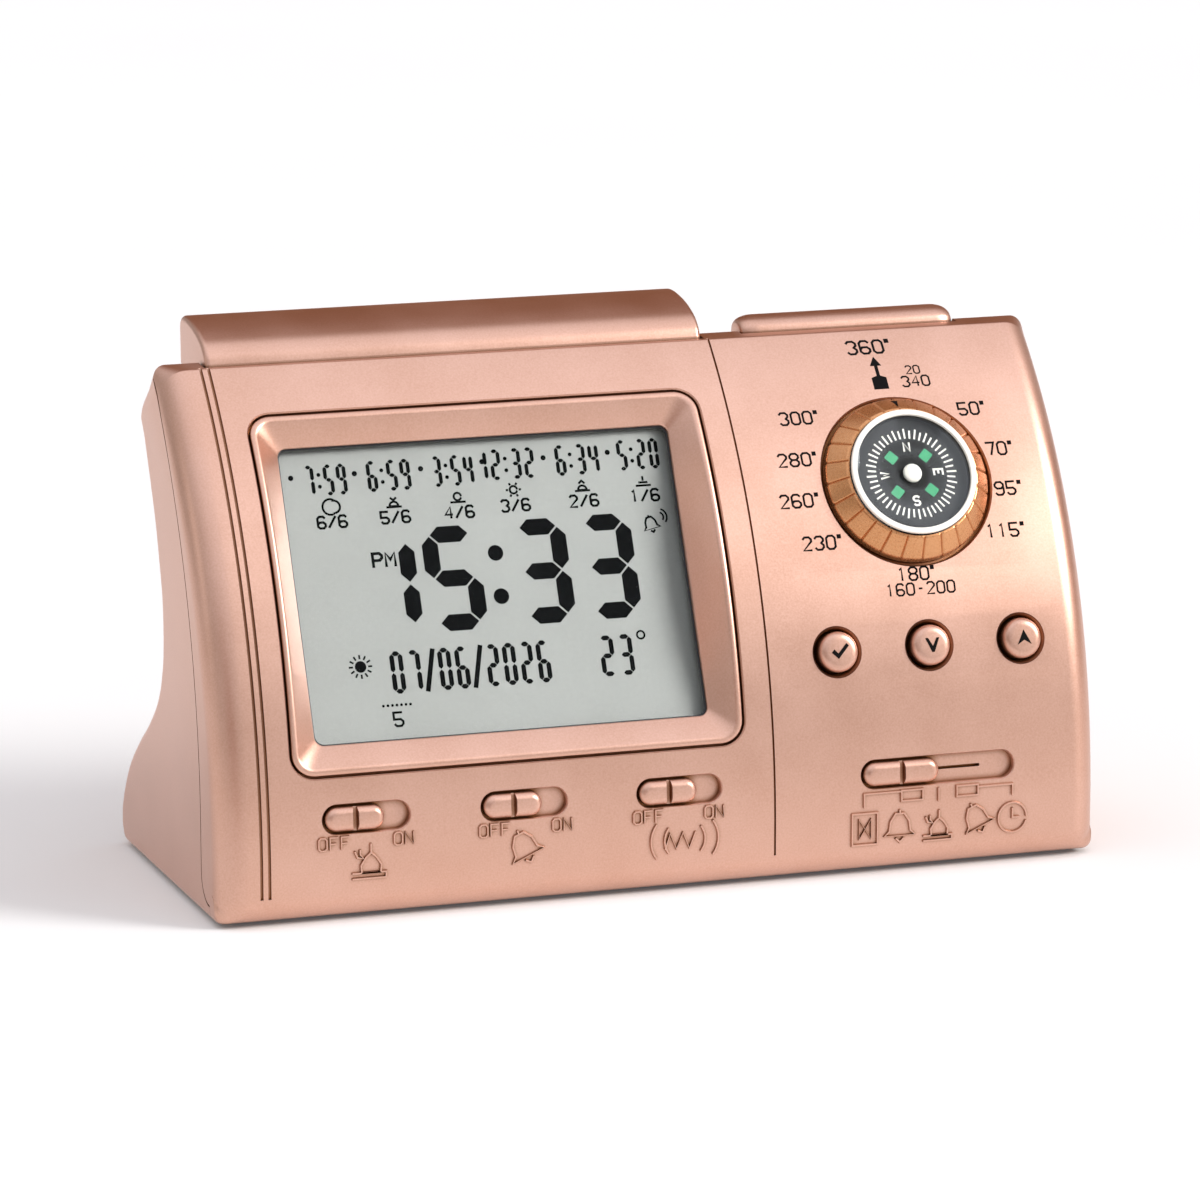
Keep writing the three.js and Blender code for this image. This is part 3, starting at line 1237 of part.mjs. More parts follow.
["prayer_alarm", "daily_alarm", "snooze_mode"].forEach((name, k) => {
  place(name + "_slider", alarmSliders[k].knob, ROSE_TRIM);
  place(name + "_switch", alarmSliders[k].body, BLACK_PLASTIC);
});
place("set_mode_slider", modeSlider.knob, ROSE_TRIM);
place("set_mode_switch", modeSlider.body, BLACK_PLASTIC);
place("slider_board", sliderBoard, BOARD_GREEN);

place("compass_ring", compassRing(), ROSE_PAINT);
place("compass_cup", compassCup, BLACK_PLASTIC);
place("compass_collar", compassCollar, IVORY);
place("compass_lens", compassLens, CLEAR);
place("compass_card", compassCard, BLACK_PLASTIC);
place("compass_pivot", compassPivot, STEEL);

place("speaker_basket", speakerBasket, STEEL);
place("speaker_cone", speakerCone, PAPER);
place("speaker_magnet", speakerMagnet, STEEL);

place("battery_door", door, ROSE_PAINT);
place("battery_front", cell(cellYs[0], -1), CELL_LABEL);
place("battery_back", cell(cellYs[1], 1), CELL_LABEL);
place("contact_bridge", contact(1, cellYs, [cellYs[0]]), STEEL);
place("contact_plus", contact(-1, [cellYs[0]], []), STEEL);
place("contact_minus", contact(-1, [cellYs[1]], [cellYs[1]]), STEEL);

sides.forEach((side) => {
  const name = side < 0 ? "left" : "right";
  place("back_screw_" + name, moved(screw(SCREW_LENGTH), backScrewFrame(side)), STEEL);
  place("base_screw_" + name, moved(screw(SCREW_LENGTH), baseScrewFrame(side)), STEEL);
});
footPlaces.forEach((spot, k) => {
  const name = ["front_left", "front_right", "back_left", "back_right"][k];
  place("foot_" + name, foot(spot), DARK_RUBBER);
});

// Centred over the origin, because the knobs stand a little in front of the panel
clock.position.y = -new THREE.Box3().setFromObject(clock).getCenter(v3()).y;
const root = new THREE.Group();
root.add(clock);
export default root;
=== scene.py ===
# %% [markdown]
# # A leaning desk clock with a compass
# The clock is a moulded box of ABS with a satin rose-gold lacquer. Its panel is part of a cylinder,
# a funnel-shaped bezel leads down to a grey display, and a small compass sits in a ring that turns.
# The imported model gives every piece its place, so it is loaded first and never moved.

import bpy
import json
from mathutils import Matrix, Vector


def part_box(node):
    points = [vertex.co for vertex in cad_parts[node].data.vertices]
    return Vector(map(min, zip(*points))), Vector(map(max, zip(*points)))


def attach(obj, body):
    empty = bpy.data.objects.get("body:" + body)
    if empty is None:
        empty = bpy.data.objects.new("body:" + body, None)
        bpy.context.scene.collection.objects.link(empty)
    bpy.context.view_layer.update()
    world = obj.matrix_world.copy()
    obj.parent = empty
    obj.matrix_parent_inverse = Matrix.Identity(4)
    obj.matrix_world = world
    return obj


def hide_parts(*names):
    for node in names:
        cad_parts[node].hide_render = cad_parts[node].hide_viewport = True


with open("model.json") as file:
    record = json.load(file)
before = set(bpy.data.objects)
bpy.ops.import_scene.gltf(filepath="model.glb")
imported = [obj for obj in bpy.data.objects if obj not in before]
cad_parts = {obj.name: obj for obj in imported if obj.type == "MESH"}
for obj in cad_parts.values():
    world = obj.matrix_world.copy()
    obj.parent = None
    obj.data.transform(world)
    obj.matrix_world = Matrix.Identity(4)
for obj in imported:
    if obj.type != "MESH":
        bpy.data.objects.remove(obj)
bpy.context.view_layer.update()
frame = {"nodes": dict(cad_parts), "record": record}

# %% [markdown]
# ## Millimetres and the drawing's own frame
# The clock is drawn in millimetres, with Y = 0 on the panel's foremost line. Blender works in
# metres and has the model centred, so one function turns drawn points into placed ones. The shift
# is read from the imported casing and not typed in, which keeps the two from drifting apart.

# %% From drawn millimetres to placed metres
import json
import math

import bmesh
import bpy
import numpy as np
from mathutils import Vector

MM = 0.001
PANEL_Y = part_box("front_casing")[0][1]


def placed(points):
    return np.asarray(points, float) * MM + (0, PANEL_Y, 0)


print("the panel's foremost line is at Y =", round(PANEL_Y, 5), "m")

# %% [markdown]
# ## The camera
# The photograph was taken with a long lens, from a little to the left and above. Fitting the
# casing's corners to the picture gave this place and these two angles. A long lens keeps the
# clock's upright edges nearly parallel, which is why a wide one can't stand in for it.

# %% Camera at the photograph's place
CAMERA_PLACE = (-0.317994, -0.915779, 0.252003)
CAMERA_TURN, CAMERA_DIP = math.radians(19.07), math.radians(12.21)
CAMERA_LENS, SENSOR_WIDTH = 181.43, 36  # mm

camera = bpy.data.objects.new("camera", bpy.data.cameras.new("camera"))
bpy.context.collection.objects.link(camera)
camera.data.lens = CAMERA_LENS
camera.data.sensor_width = SENSOR_WIDTH
camera.location = CAMERA_PLACE
camera.rotation_euler = (math.pi / 2 - CAMERA_DIP, 0, -CAMERA_TURN)
bpy.context.scene.camera = camera
print("camera", round(Vector(CAMERA_PLACE).length, 2), "m from the clock")

# %% [markdown]
# ## Meshes from rings
# Nearly every moulded shape here can be seen as a stack of rings with equally many points: the
# casing is its side outline repeated from left to right, a button is a circle repeated along its
# axis. A loft joins the rings, and softening a corner between two rings gives the small radius
# that every moulded or lacquered edge has.

# %% Lofts
SAME_PLACE = 1e-8  # metres between points that are one


def mesh_piece(name, points, faces, smooth=35):
    mesh = bpy.data.meshes.new(name)
    mesh.from_pydata([tuple(point) for point in placed(points)], [], faces)
    shape = bmesh.new()
    shape.from_mesh(mesh)
    bmesh.ops.remove_doubles(shape, verts=shape.verts, dist=SAME_PLACE)
    bmesh.ops.recalc_face_normals(shape, faces=shape.faces)
    shape.to_mesh(mesh)
    shape.free()
    mesh.shade_smooth()
    mesh.set_sharp_from_angle(angle=math.radians(smooth))
    piece = bpy.data.objects.new(name, mesh)
    bpy.context.collection.objects.link(piece)
    return piece


def ring_faces(count, around, lids=True, first=0):
    """Faces of a stack of rings, numbered from a first point: with lids, or round on itself."""
    faces = []
    for i in range(count - 1 if lids else count):
        near, far = first + i * around, first + (i + 1) % count * around
        for j in range(around):
            after = (j + 1) % around
            faces.append((near + j, near + after, far + after, far + j))
    if lids:
        last = first + (count - 1) * around
        faces.append(tuple(range(first, first + around))[::-1])
        faces.append(tuple(range(last, last + around)))
    return faces


def loft(name, rings, lids=True, smooth=35):
    rings = np.asarray(rings, float)
    return mesh_piece(name, rings.reshape(-1, 3), ring_faces(*rings.shape[:2], lids), smooth)


def bend(start, corner, end, steps):
    """The places of a parabola that rounds a corner off."""
    return [(1 - t) ** 2 * start + 2 * t * (1 - t) * corner + t**2 * end
            for t in np.linspace(0, 1, steps + 1)]


def softened(rings, reach, steps=4, closed=False):
    """Bends a stack of rings at each inner ring. reach is one distance, or one for each ring."""
    rings = [np.asarray(ring, float) for ring in rings]
    reaches = np.broadcast_to(reach, len(rings))
    made = []
    for i, ring in enumerate(rings):
        if not closed and i in (0, len(rings) - 1) or not reaches[i]:
            made.append(ring)
            continue
        ends = []
        for other in (rings[i - 1], rings[(i + 1) % len(rings)]):
            way = other - ring
            length = np.linalg.norm(way, axis=-1, keepdims=True)
            ends.append(ring + way * np.minimum(reaches[i] / np.maximum(length, 1e-9), 0.49))
        made += bend(ends[0], ring, ends[1], steps)
    return made


# %% [markdown]
# ## Places on the clock
# The panel is an arc of 104 mm radius that starts upright 9 mm above the table. A place on it is
# its distance across and its angle along the arc. What is printed or cut on the panel follows the
# arc, and what is mounted in it, such as a button, stands on the flat plane that touches the arc.

# %% The panel's arc, and flat planes that touch it
FACE_RADIUS, FACE_START = 104.0, 9.0


def on_panel(loop, x, degrees, depth=0.0):
    across, up = np.asarray(loop, float).T
    angle = math.radians(degrees) + up / FACE_RADIUS
    bent = np.maximum(angle, 0)
    radius = FACE_RADIUS - depth
    return np.column_stack([
        x + across,
        FACE_RADIUS - radius * np.cos(bent),
        FACE_START + radius * np.sin(bent) + FACE_RADIUS * np.minimum(angle, 0),
    ])


def on_plane(loop, x, degrees, depth=0.0):
    """A loop on the plane that touches the arc there, shifted into the clock by depth."""
    across, up = np.asarray(loop, float).T
    lean = math.radians(degrees)
    y0 = FACE_RADIUS - (FACE_RADIUS - depth) * math.cos(lean)
    z0 = FACE_START + (FACE_RADIUS - depth) * math.sin(lean)
    return np.column_stack([x + across, y0 + up * math.sin(lean), z0 + up * math.cos(lean)])


def plug(name, loop, x, degrees, depths):
    """A loop on such a plane, carried from one depth to another."""
    return loft(name, [on_plane(loop, x, degrees, deep) for deep in depths])


def circle(radius, steps=96, x=0.0, z=0.0):
    turn = np.linspace(0, 2 * math.pi, steps, endpoint=False)
    return np.column_stack([x + radius * np.cos(turn), z + radius * np.sin(turn)])


def rounded_loop(width, height, corner, side_steps=1, corner_steps=8):
    x, z = width / 2 - corner, height / 2 - corner
    points = []
    for quarter, (cx, cz) in enumerate([(x, z), (-x, z), (-x, -z), (x, -z)]):
        for k in range(corner_steps + 1):
            turn = (quarter + k / corner_steps) * math.pi / 2
            points.append((cx + corner * math.cos(turn), cz + corner * math.sin(turn)))
        if quarter % 2:
            side = points[-1][0]
            points += [(side, cz - 2 * cz * k / side_steps) for k in range(1, side_steps)]
    return np.array(points)


# %% [markdown]
# ## Rolled edges
# The casing, the bar and the pad are each one outline carried across the clock whose two ends roll
# over. Moving every point of the outline inwards along its mitre, by a quarter circle's share of
# the roll, gives those ends. A bevel modifier would also do it, but not with a roll that changes
# along the outline, as it does between the wide front and the tight back of the casing.

# %% Outlines and solids with rolled ends
def mitres_of(outline):
    after = np.roll(outline, -1, axis=0) - outline
    after /= np.linalg.norm(after, axis=1, keepdims=True)
    before = np.roll(after, 1, axis=0)
    following = np.roll(outline, -1, axis=0)
    area = np.sum(outline[:, 0] * following[:, 1] - following[:, 0] * outline[:, 1])
    turn = -1 if area > 0 else 1
    first, second = (turn * np.column_stack([edge[:, 1], -edge[:, 0]]) for edge in (before, after))
    return (first + second) / (1 + np.sum(first * second, axis=1, keepdims=True))


def rolled_solid(name, outline, roll, ends, reach, steps=10):
    """An outline carried from end to end. Both ends roll over, reach times as wide as high."""
    mitres = mitres_of(outline)
    rings = []
    for end, side in ((ends[0], -1), (ends[1], 1)):
        for k in range(steps + 1):
            share = (k if side < 0 else steps - k) / steps * math.pi / 2
            moved = outline + mitres * (roll * (1 - math.sin(share)))
            x = end - side * (reach * roll * (1 - math.cos(share)))
            rings.append(np.column_stack([np.full(len(outline), x), moved]))
    return loft(name, rings)


def through(places, steps):
    """Smooth curve through places, with steps points from each to the next."""
    places = np.asarray(places, float)
    padded = np.vstack([places[:1], places, places[-1:]])
    made = []
    for i in range(len(places) - 1):
        a, b, c, d = padded[i:i + 4]
        for t in np.arange(steps) / steps:
            slope_b, slope_c = (c - a) / 2, (d - b) / 2
            made.append(
                (2 * b - 2 * c + slope_b + slope_c) * t**3
                + (3 * c - 3 * b - 2 * slope_b - slope_c) * t**2 + slope_b * t + b
            )
    return np.array(made + [places[-1]])


# %% [markdown]
# ## Cutting
# Openings are cut with solid cutters, as a tool maker cuts a mould. The Manifold solver takes
# closed solids only and gives closed solids back, so each result stays one printable body.

# %% Boolean cuts
def carve(piece, cutters, operation="DIFFERENCE", smooth=32):
    cutters = list(cutters)
    for cutter in cutters:
        step = piece.modifiers.new("carve", "BOOLEAN")
        step.operation, step.solver, step.object = operation, "MANIFOLD", cutter
    finished = bpy.data.meshes.new_from_object(
        piece.evaluated_get(bpy.context.evaluated_depsgraph_get())
    )
    piece.modifiers.clear()
    piece.data = finished
    for cutter in cutters:
        bpy.data.objects.remove(cutter)
    finished.shade_smooth()
    finished.set_sharp_from_angle(angle=math.radians(smooth))
    return piece


def across(name, outline, ends):
    return loft(name, [[(end, *point) for point in outline] for end in ends])


def slab(name, x, y, z):
    return across(name, [(y[0], z[0]), (y[1], z[0]), (y[1], z[1]), (y[0], z[1])], x)


# %% [markdown]
# ## Nodes and colours
# Colours are written as sRGB hex, as a painter's swatch or a photograph gives them, and one
# function turns them to the linear values that light is counted in. One small function adds a
# node, sets its fields and joins its links, and each finish below is built with it.

# %% Colours, nodes and the start of a finish
def linear(code):
    values = [int(code[i:i + 2], 16) / 255 for i in (1, 3, 5)]
    return (*(v / 12.92 if v <= 0.04045 else ((v + 0.055) / 1.055) ** 2.4 for v in values), 1.0)


def add_node(tree, kind, fields=None, sockets=None, links=None):
    node = tree.nodes.new(kind)
    for field, value in (fields or {}).items():
        setattr(node, field, value)
    for socket, value in (sockets or {}).items():
        node.inputs[socket].default_value = value
    for socket, source in (links or {}).items():
        tree.links.new(source, node.inputs[socket])
    return node


def blank_finish(name):
    finish = bpy.data.materials.new(name)
    finish.use_nodes = True
    finish.node_tree.nodes.clear()
    return finish, finish.node_tree


def noise(tree, scale, detail=2.0):
    """Soft noise in the piece's own space, with scale cells to the metre."""
    place = add_node(tree, "ShaderNodeTexCoord").outputs["Object"]
    return add_node(tree, "ShaderNodeTexNoise", sockets={"Scale": scale, "Detail": detail},
                    links={"Vector": place}).outputs["Fac"]


def mapped(tree, value, start, end=(0.0, 1.0)):
    """A value taken from the range start to the range end, and held at both."""
    ranges = dict(zip(("From Min", "From Max", "To Min", "To Max"), (*start, *end)))
    return add_node(tree, "ShaderNodeMapRange", sockets=ranges,
                    links={"Value": value}).outputs["Result"]


def grained(tree, height, distance_mm):
    return add_node(tree, "ShaderNodeBump", sockets={"Strength": 1.0, "Distance": distance_mm * MM},
                    links={"Height": height}).outputs["Normal"]


# %% [markdown]
# ## One recipe for nearly every finish
# A coarse and a fine noise are mixed. The mix shifts the colour between two swatches and the
# roughness between two values, and the fine noise alone is the height of a grain. Where a finish
# is given a crease colour, its creases are painted darker as shade, found by ambient occlusion
# over 1.2 mm.

# %% The speckled finish
COARSE_MM, FINE_SHARE = 14, 0.55
TINT_RANGE, SHEEN_RANGE = (0.34, 0.66), (0.3, 0.7)  # of the mixed noise, which keeps near 0.5
CREASE_MM, CREASE_RANGE = 1.2, (0.35, 0.9)


def speckled(name, light, dark, grain_mm, rough, bump_mm, crease_shade=None, **shader):
    """A finish whose colour runs between two swatches and whose surface has a fine grain.

    grain_mm is the size of one grain, rough the range of roughness and bump_mm the grain's height.
    The colour after bump_mm is painted into creases as shade, where ambient occlusion finds them.
    """
    finish, tree = blank_finish(name)
    fine = noise(tree, 1 / (grain_mm * MM))
    coarse = noise(tree, 1 / (COARSE_MM * MM), 3.0)
    share = add_node(tree, "ShaderNodeMath", {"operation": "MULTIPLY"}, {1: 1 - FINE_SHARE},
                     {0: coarse}).outputs[0]
    mixed = add_node(tree, "ShaderNodeMath", {"operation": "MULTIPLY_ADD"}, {1: FINE_SHARE},
                     {0: fine, 2: share}).outputs[0]
    tint = add_node(tree, "ShaderNodeValToRGB", links={"Fac": mixed})
    for stop, position, code in zip(tint.color_ramp.elements, TINT_RANGE, (dark, light)):
        stop.position, stop.color = position, linear(code)
    colour = tint.outputs["Color"]
    # painted shade: creases that ambient occlusion finds take the darker crease colour
    if crease_shade:
        crease = add_node(tree, "ShaderNodeAmbientOcclusion", {"samples": 8},
                          {"Distance": CREASE_MM * MM}).outputs["AO"]
        colour = add_node(tree, "ShaderNodeMixRGB", sockets={"Color1": linear(crease_shade)}, links={
            "Fac": mapped(tree, crease, CREASE_RANGE), "Color2": colour,
        }).outputs["Color"]
    surface = add_node(tree, "ShaderNodeBsdfPrincipled", sockets=shader, links={
        "Base Color": colour, "Roughness": mapped(tree, mixed, SHEEN_RANGE, rough),
        "Normal": grained(tree, fine, bump_mm),
    })
    add_node(tree, "ShaderNodeOutputMaterial", links={"Surface": surface.outputs["BSDF"]})
    return finish


# %% [markdown]
# ## The finishes
# The casing is ABS sprayed with a rose-gold lacquer: aluminium flakes in a tinted binder under a
# clear coat. The flakes make it nearly a metal, so it darkens to brown where it mirrors something
# dark, and the clear coat adds a faint second gloss. Real flakes are some 0.03 mm across. They are
# drawn at 0.3 mm, which is about two pixels here, or they wouldn't show at all. The ink has a low
# IOR, because a black that mirrors the room looks grey beside the lacquer.

# %% Lacquers, plastics and metals
# the rose lacquer's creases take a painted shade of dark brown
ROSE_LACQUER = speckled("rose_gold_lacquer_on_abs", "#DAAE9B", "#CE9F89", 0.3, (0.34, 0.42),
                        0.0014, crease_shade="#85501E", Metallic=0.9, IOR=1.5,
                        **{"Coat Weight": 0.3, "Coat Roughness": 0.3})
COPPER_LACQUER = speckled("copper_lacquer_on_abs", "#D79B6B", "#C4834F", 0.3, (0.24, 0.32), 0.001,
                          Metallic=0.75, IOR=1.5, **{"Coat Weight": 0.3, "Coat Roughness": 0.15})
IVORY_ABS = speckled("moulded_ivory_abs", "#FBF6EC", "#F2EBDD", 0.5, (0.3, 0.4), 0.001, IOR=1.53)
WHITE_ABS = speckled("moulded_white_abs", "#F4F2EC", "#E8E5DC", 0.6, (0.4, 0.5), 0.002, IOR=1.53)
BLACK_ABS = speckled("moulded_black_abs", "#1B1B1E", "#101012", 0.5, (0.35, 0.5), 0.003, IOR=1.53)
CARD_LACQUER = speckled("matt_black_card_lacquer", "#1E1C1B", "#141312", 0.3, (0.7, 0.8), 0.001,
                        IOR=1.4)
DARK_RUBBER = speckled("moulded_black_rubber", "#2E2E31", "#202022", 0.6, (0.7, 0.85), 0.01,
                       IOR=1.52)
GREEN_PAINT = speckled("pad_printed_green", "#2FA36C", "#25905C", 0.4, (0.45, 0.55), 0.001, IOR=1.5)
BLACK_INK = speckled("pad_printed_black", "#0C0808", "#070505", 0.4, (0.8, 0.9), 0.001, IOR=1.25)
PLATED_STEEL = speckled("zinc_plated_steel", "#C9CBCE", "#AEB0B4", 0.4, (0.28, 0.4), 0.002,
                        Metallic=1.0)
FELT_PAPER = speckled("pressed_speaker_paper", "#48443E", "#35322D", 0.7, (0.8, 0.95), 0.03,
                      IOR=1.45)
CELL_FILM = speckled("shrink_film_label", "#3B404A", "#2B2F38", 1.2, (0.25, 0.35), 0.001, IOR=1.5,
                     **{"Coat Weight": 0.4, "Coat Roughness": 0.1})
BOARD_LACQUER = speckled("solder_mask_on_fibreglass", "#2A7A50", "#1B5A39", 0.9, (0.3, 0.45), 0.01,
                         IOR=1.5)

# %% [markdown]
# ## The display's glass, its segments and the clear panes
# A reflective display is grey because light passes two polarisers and comes back from a foil that
# looks like frosted aluminium. Turned-on segments absorb it, and hardly mirror the room. The pane
# over it and the compass lens are acrylic, IOR 1.49. Light that only passes a thin pane on its way
# to a shadow is let straight through, since Cycles would otherwise shade the display as if the
# pane were solid.

# %% Display and acrylic
LCD_FOIL = speckled("display_foil_under_polariser", "#A2A19C", "#9B9A95", 0.5, (0.4, 0.5), 0.0005,
                    IOR=1.5)
LCD_SEGMENT = speckled("display_segment", "#08090A", "#040505", 0.8, (0.8, 0.9), 0.0005, IOR=1.2)
POLISH_MM, POLISH_RANGE, POLISH_BUMP = 3, (0.01, 0.04), 0.0004


def acrylic(name):
    finish, tree = blank_finish(name)
    haze = noise(tree, 1 / (POLISH_MM * MM))
    pane = add_node(tree, "ShaderNodeBsdfPrincipled", sockets={
        "Base Color": linear("#F7FAFA"), "IOR": 1.49, "Transmission Weight": 1.0,
    }, links={
        "Roughness": mapped(tree, haze, (0.0, 1.0), POLISH_RANGE),
        "Normal": grained(tree, haze, POLISH_BUMP),
    }).outputs["BSDF"]
    clear = add_node(tree, "ShaderNodeBsdfTransparent").outputs["BSDF"]
    shadow = add_node(tree, "ShaderNodeLightPath").outputs["Is Shadow Ray"]
    both = add_node(tree, "ShaderNodeMixShader", links={0: shadow, 1: pane, 2: clear})
    add_node(tree, "ShaderNodeOutputMaterial", links={"Surface": both.outputs["Shader"]})
    return finish


ACRYLIC = acrylic("clear_acrylic")
print(len(bpy.data.materials), "materials so far, the imported ones included")

# %% [markdown]
# ## Handing a piece over
# Each finished piece gets its finish, rides on the body of the node that it stands for, and,
# where it stands in for that node, hides the node's imported mesh.

# %% Dressing a piece
BODIES = frame["record"]["behaviour"]["bodies"]
BODY_OF = {node: body for body, nodes in BODIES.items() for node in nodes}


def dress(piece, finish, node, stands_for=True):
    piece.data.materials.clear()
    piece.data.materials.append(finish)
    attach(piece, BODY_OF[node])
    if stands_for:
        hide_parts(node)
    return piece


# %% [markdown]
# ## The casing's outline
# Seen from the side the casing goes from a rolled toe up the panel, over a crisp ridge, and down a
# back with a waist and a boot for the batteries. The back is one smooth curve through measured
# places. The two crisp corners at the top stay single points here and are softened ring by ring,
# because a rounded corner that is moved in by more than its radius would fold over itself.

# %% Side outline and its rolls
CASE_WIDTH, CASE_DEPTH, WALL = 150.0, 61.8, 2.2
RIDGE_HEIGHT, CREST_HEIGHT, FOOT_PROUD = 84.3, 84.65, 0.6
TOE_RADIUS, HEEL_RADIUS = 4.4, 3.2
FRONT_ROLL, REAR_ROLL, BASE_ROLL, CORNER_SOFTNESS = 5.0, 2.0, 1.6, 0.25
LEAST_ROLL, LEAST_SOFTNESS, SOFTNESS_LOSS = 0.5, 0.12, 0.4
BACK_SHARES = [
    (0.1407, 1), (0.2598, 0.9569), (0.4031, 0.9161), (0.4469, 0.8808), (0.3861, 0.8484),
    (0.3345, 0.8131), (0.2568, 0.7575), (0.1723, 0.6919), (0.1086, 0.6242), (0.053, 0.5515),
    (0.048, 0.4717), (0.0784, 0.4182), (0.1702, 0.3596), (0.3669, 0.298), (0.5899, 0.2444),
    (0.7888, 0.1879), (0.9166, 0.1323), (0.9884, 0.0838), (1, 0.0526),
]
RIDGE_ANGLE = math.asin((RIDGE_HEIGHT - FACE_START) / FACE_RADIUS)
RIDGE_Y = FACE_RADIUS * (1 - math.cos(RIDGE_ANGLE))


def arc_points(low, high, steps, radius=FACE_RADIUS, back=0.0, up=0.0):
    turn = np.linspace(low, high, steps)
    return np.column_stack([
        back + FACE_RADIUS - radius * np.cos(turn), up + FACE_START + radius * np.sin(turn)
    ])


def case_outline(panel_steps=66, back_steps=5):
    quarter = np.linspace(0, math.pi / 2, 9)
    toe = np.column_stack([
        TOE_RADIUS * (1 - np.sin(quarter)), FOOT_PROUD + TOE_RADIUS * (1 - np.cos(quarter))
    ])
    panel = arc_points(0, RIDGE_ANGLE, panel_steps)
    back = [(RIDGE_Y + (CASE_DEPTH - RIDGE_Y) * y, CREST_HEIGHT * z) for y, z in BACK_SHARES]
    back = np.vstack([back[:1], through(back[1:], back_steps)])  # the crest keeps a long edge
    end = back[-1]
    heel = np.column_stack([
        end[0] - HEEL_RADIUS * (1 - np.cos(quarter[1:])),
        end[1] + (FOOT_PROUD - end[1]) * np.sin(quarter[1:]),
    ])
    corners = (len(toe) + len(panel) - 1, len(toe) + len(panel))
    return np.vstack([toe, panel, back, heel]), corners


OUTLINE, CASE_CORNERS = case_outline()
inward = mitres_of(OUTLINE)
inward /= np.linalg.norm(inward, axis=1, keepdims=True)


def smoothstep(value, low, high):
    share = np.clip((value - low) / (high - low), 0, 1)
    return share**2 * (3 - 2 * share)


CASE_ROLLS = REAR_ROLL + (FRONT_ROLL - REAR_ROLL) * smoothstep(inward[:, 0], -0.4, 0.4)
CASE_ROLLS += (BASE_ROLL - CASE_ROLLS) * smoothstep(inward[:, 1], 0.6, 1)
print("outline of", len(OUTLINE), "points, ridge at Y =", round(RIDGE_Y, 2))


def rounded_corners(ring, corners, reach):
    made = []
    for i, point in enumerate(ring):
        if i not in corners:
            made.append(point)
            continue
        ends = []
        for other in (ring[i - 1], ring[(i + 1) % len(ring)]):
            way = other - point
            ends.append(point + way * min(reach / np.linalg.norm(way), 0.45))
        made += bend(ends[0], point, ends[1], 5)
    return np.array(made)


def case_solid(name, inset=0.0, steps=12):
    mitres, half = mitres_of(OUTLINE), CASE_WIDTH / 2
    rest = np.maximum(CASE_ROLLS - inset, LEAST_ROLL)
    rings = []
    for side in (-1, 1):
        for k in range(steps + 1):
            share = (k if side < 0 else steps - k) / steps * math.pi / 2
            moved = inset + rest * (1 - math.sin(share))
            x = side * (half - inset - rest * (1 - math.cos(share)))
            ring = np.column_stack([x, OUTLINE + mitres * moved[:, None]])
            softness = CORNER_SOFTNESS - SOFTNESS_LOSS * moved[CASE_CORNERS[0]]
            softness = max(softness, LEAST_SOFTNESS)
            rings.append(rounded_corners(ring, CASE_CORNERS, softness))
    return loft(name, rings, smooth=32)


# %% [markdown]
# ## The seam
# The casing is moulded in two: a front that carries the panel, and a rear with the boot. They meet
# along the panel's own arc moved back and up, which turns forward over the base. Between them
# stays a gap of 0.3 mm, the dark line down the side in the photograph.

# %% What lies in front of the seam
SEAM_BACK, SEAM_UP, SEAM_TURN, SEAM_FLOOR, SEAM_EXIT = 10.7, 6.0, 4.5, 3.2, 3.8
SEAM_GAP = 0.3
BAR_CREST, BEYOND = 90.5, 10.0


def in_front_of_seam(name, gap=0.0):
    top = math.asin((BAR_CREST - FACE_START) / FACE_RADIUS)
    arc = arc_points(top, 0, 60, FACE_RADIUS - gap, SEAM_BACK, SEAM_UP)
    quarter = np.linspace(0, math.pi / 2, 9)
    turn = np.column_stack([
        SEAM_BACK - SEAM_TURN + (SEAM_TURN + gap) * np.cos(quarter),
        SEAM_FLOOR + SEAM_TURN - (SEAM_TURN + gap) * np.sin(quarter),
    ])
    rest = [(SEAM_EXIT + gap, -BEYOND), (-BEYOND, -BEYOND), (-BEYOND, arc[0, 1])]
    half = CASE_WIDTH / 2 + BEYOND
    return across(name, np.vstack([arc, turn, rest]), (-half, half))


# %% [markdown]
# ## Cutters for the front casing
# Every opening gets a small radius at its mouth, since lacquer and mould leave no knife edge. The
# mouths follow the panel's arc, so the radius is even all round even on the large display opening.

# %% Display opening, compass recess, button holes and slots
DISPLAY_X, DISPLAY_ANGLE = -24.8, 24.7
BEZEL_WIDTH, BEZEL_HEIGHT, BEZEL_CORNER = 76.0, 60.2, 4.0
COMPASS_X, COMPASS_ANGLE = 46.1, 30.9
RING_RADIUS, DISH_DEPTH, CUP_RADIUS = 14.0, 1.7, 10.9
BUTTON_ANGLE, BUTTON_XS, BUTTON_RADIUS = 15.6, (29.9, 45.95, 62.0), 3.3
SLIDER_ANGLE, SLOT_HEIGHT, SLOT_DEPTH = 4.4, 4.6, 1.3
ALARM_XS, ALARM_SLOT = (-50.8, -24.6, 1.6), 14.4
MODE_X, MODE_SLOT = 46.3, 26.7
ALARM_KNOB, MODE_KNOB, KNOB_GAP, POST_WIDTH, SLIT_HEIGHT = 9.9, 13.2, 0.3, 2.4, 0.5
SLOTS = [(x, ALARM_SLOT, ALARM_KNOB) for x in ALARM_XS] + [(MODE_X, MODE_SLOT, MODE_KNOB)]
DISH_GAP, CUP_GAP, HOLE_GAP, SLIT_GAP, SLIT_DEPTHS = 0.5, 0.3, 0.35, 0.3, (0.5, BEYOND / 2)
DISPLAY_MOUTH, DISH_MOUTH, HOLE_MOUTH, SLOT_MOUTH = 0.3, 0.4, 0.7, 0.2


def slider_travel(slot, knob):
    return slot - knob - 2 * KNOB_GAP


def display_loop(grow):
    width, height = BEZEL_WIDTH + 2 * grow, BEZEL_HEIGHT + 2 * grow
    return rounded_loop(width, height, BEZEL_CORNER + grow, 24)


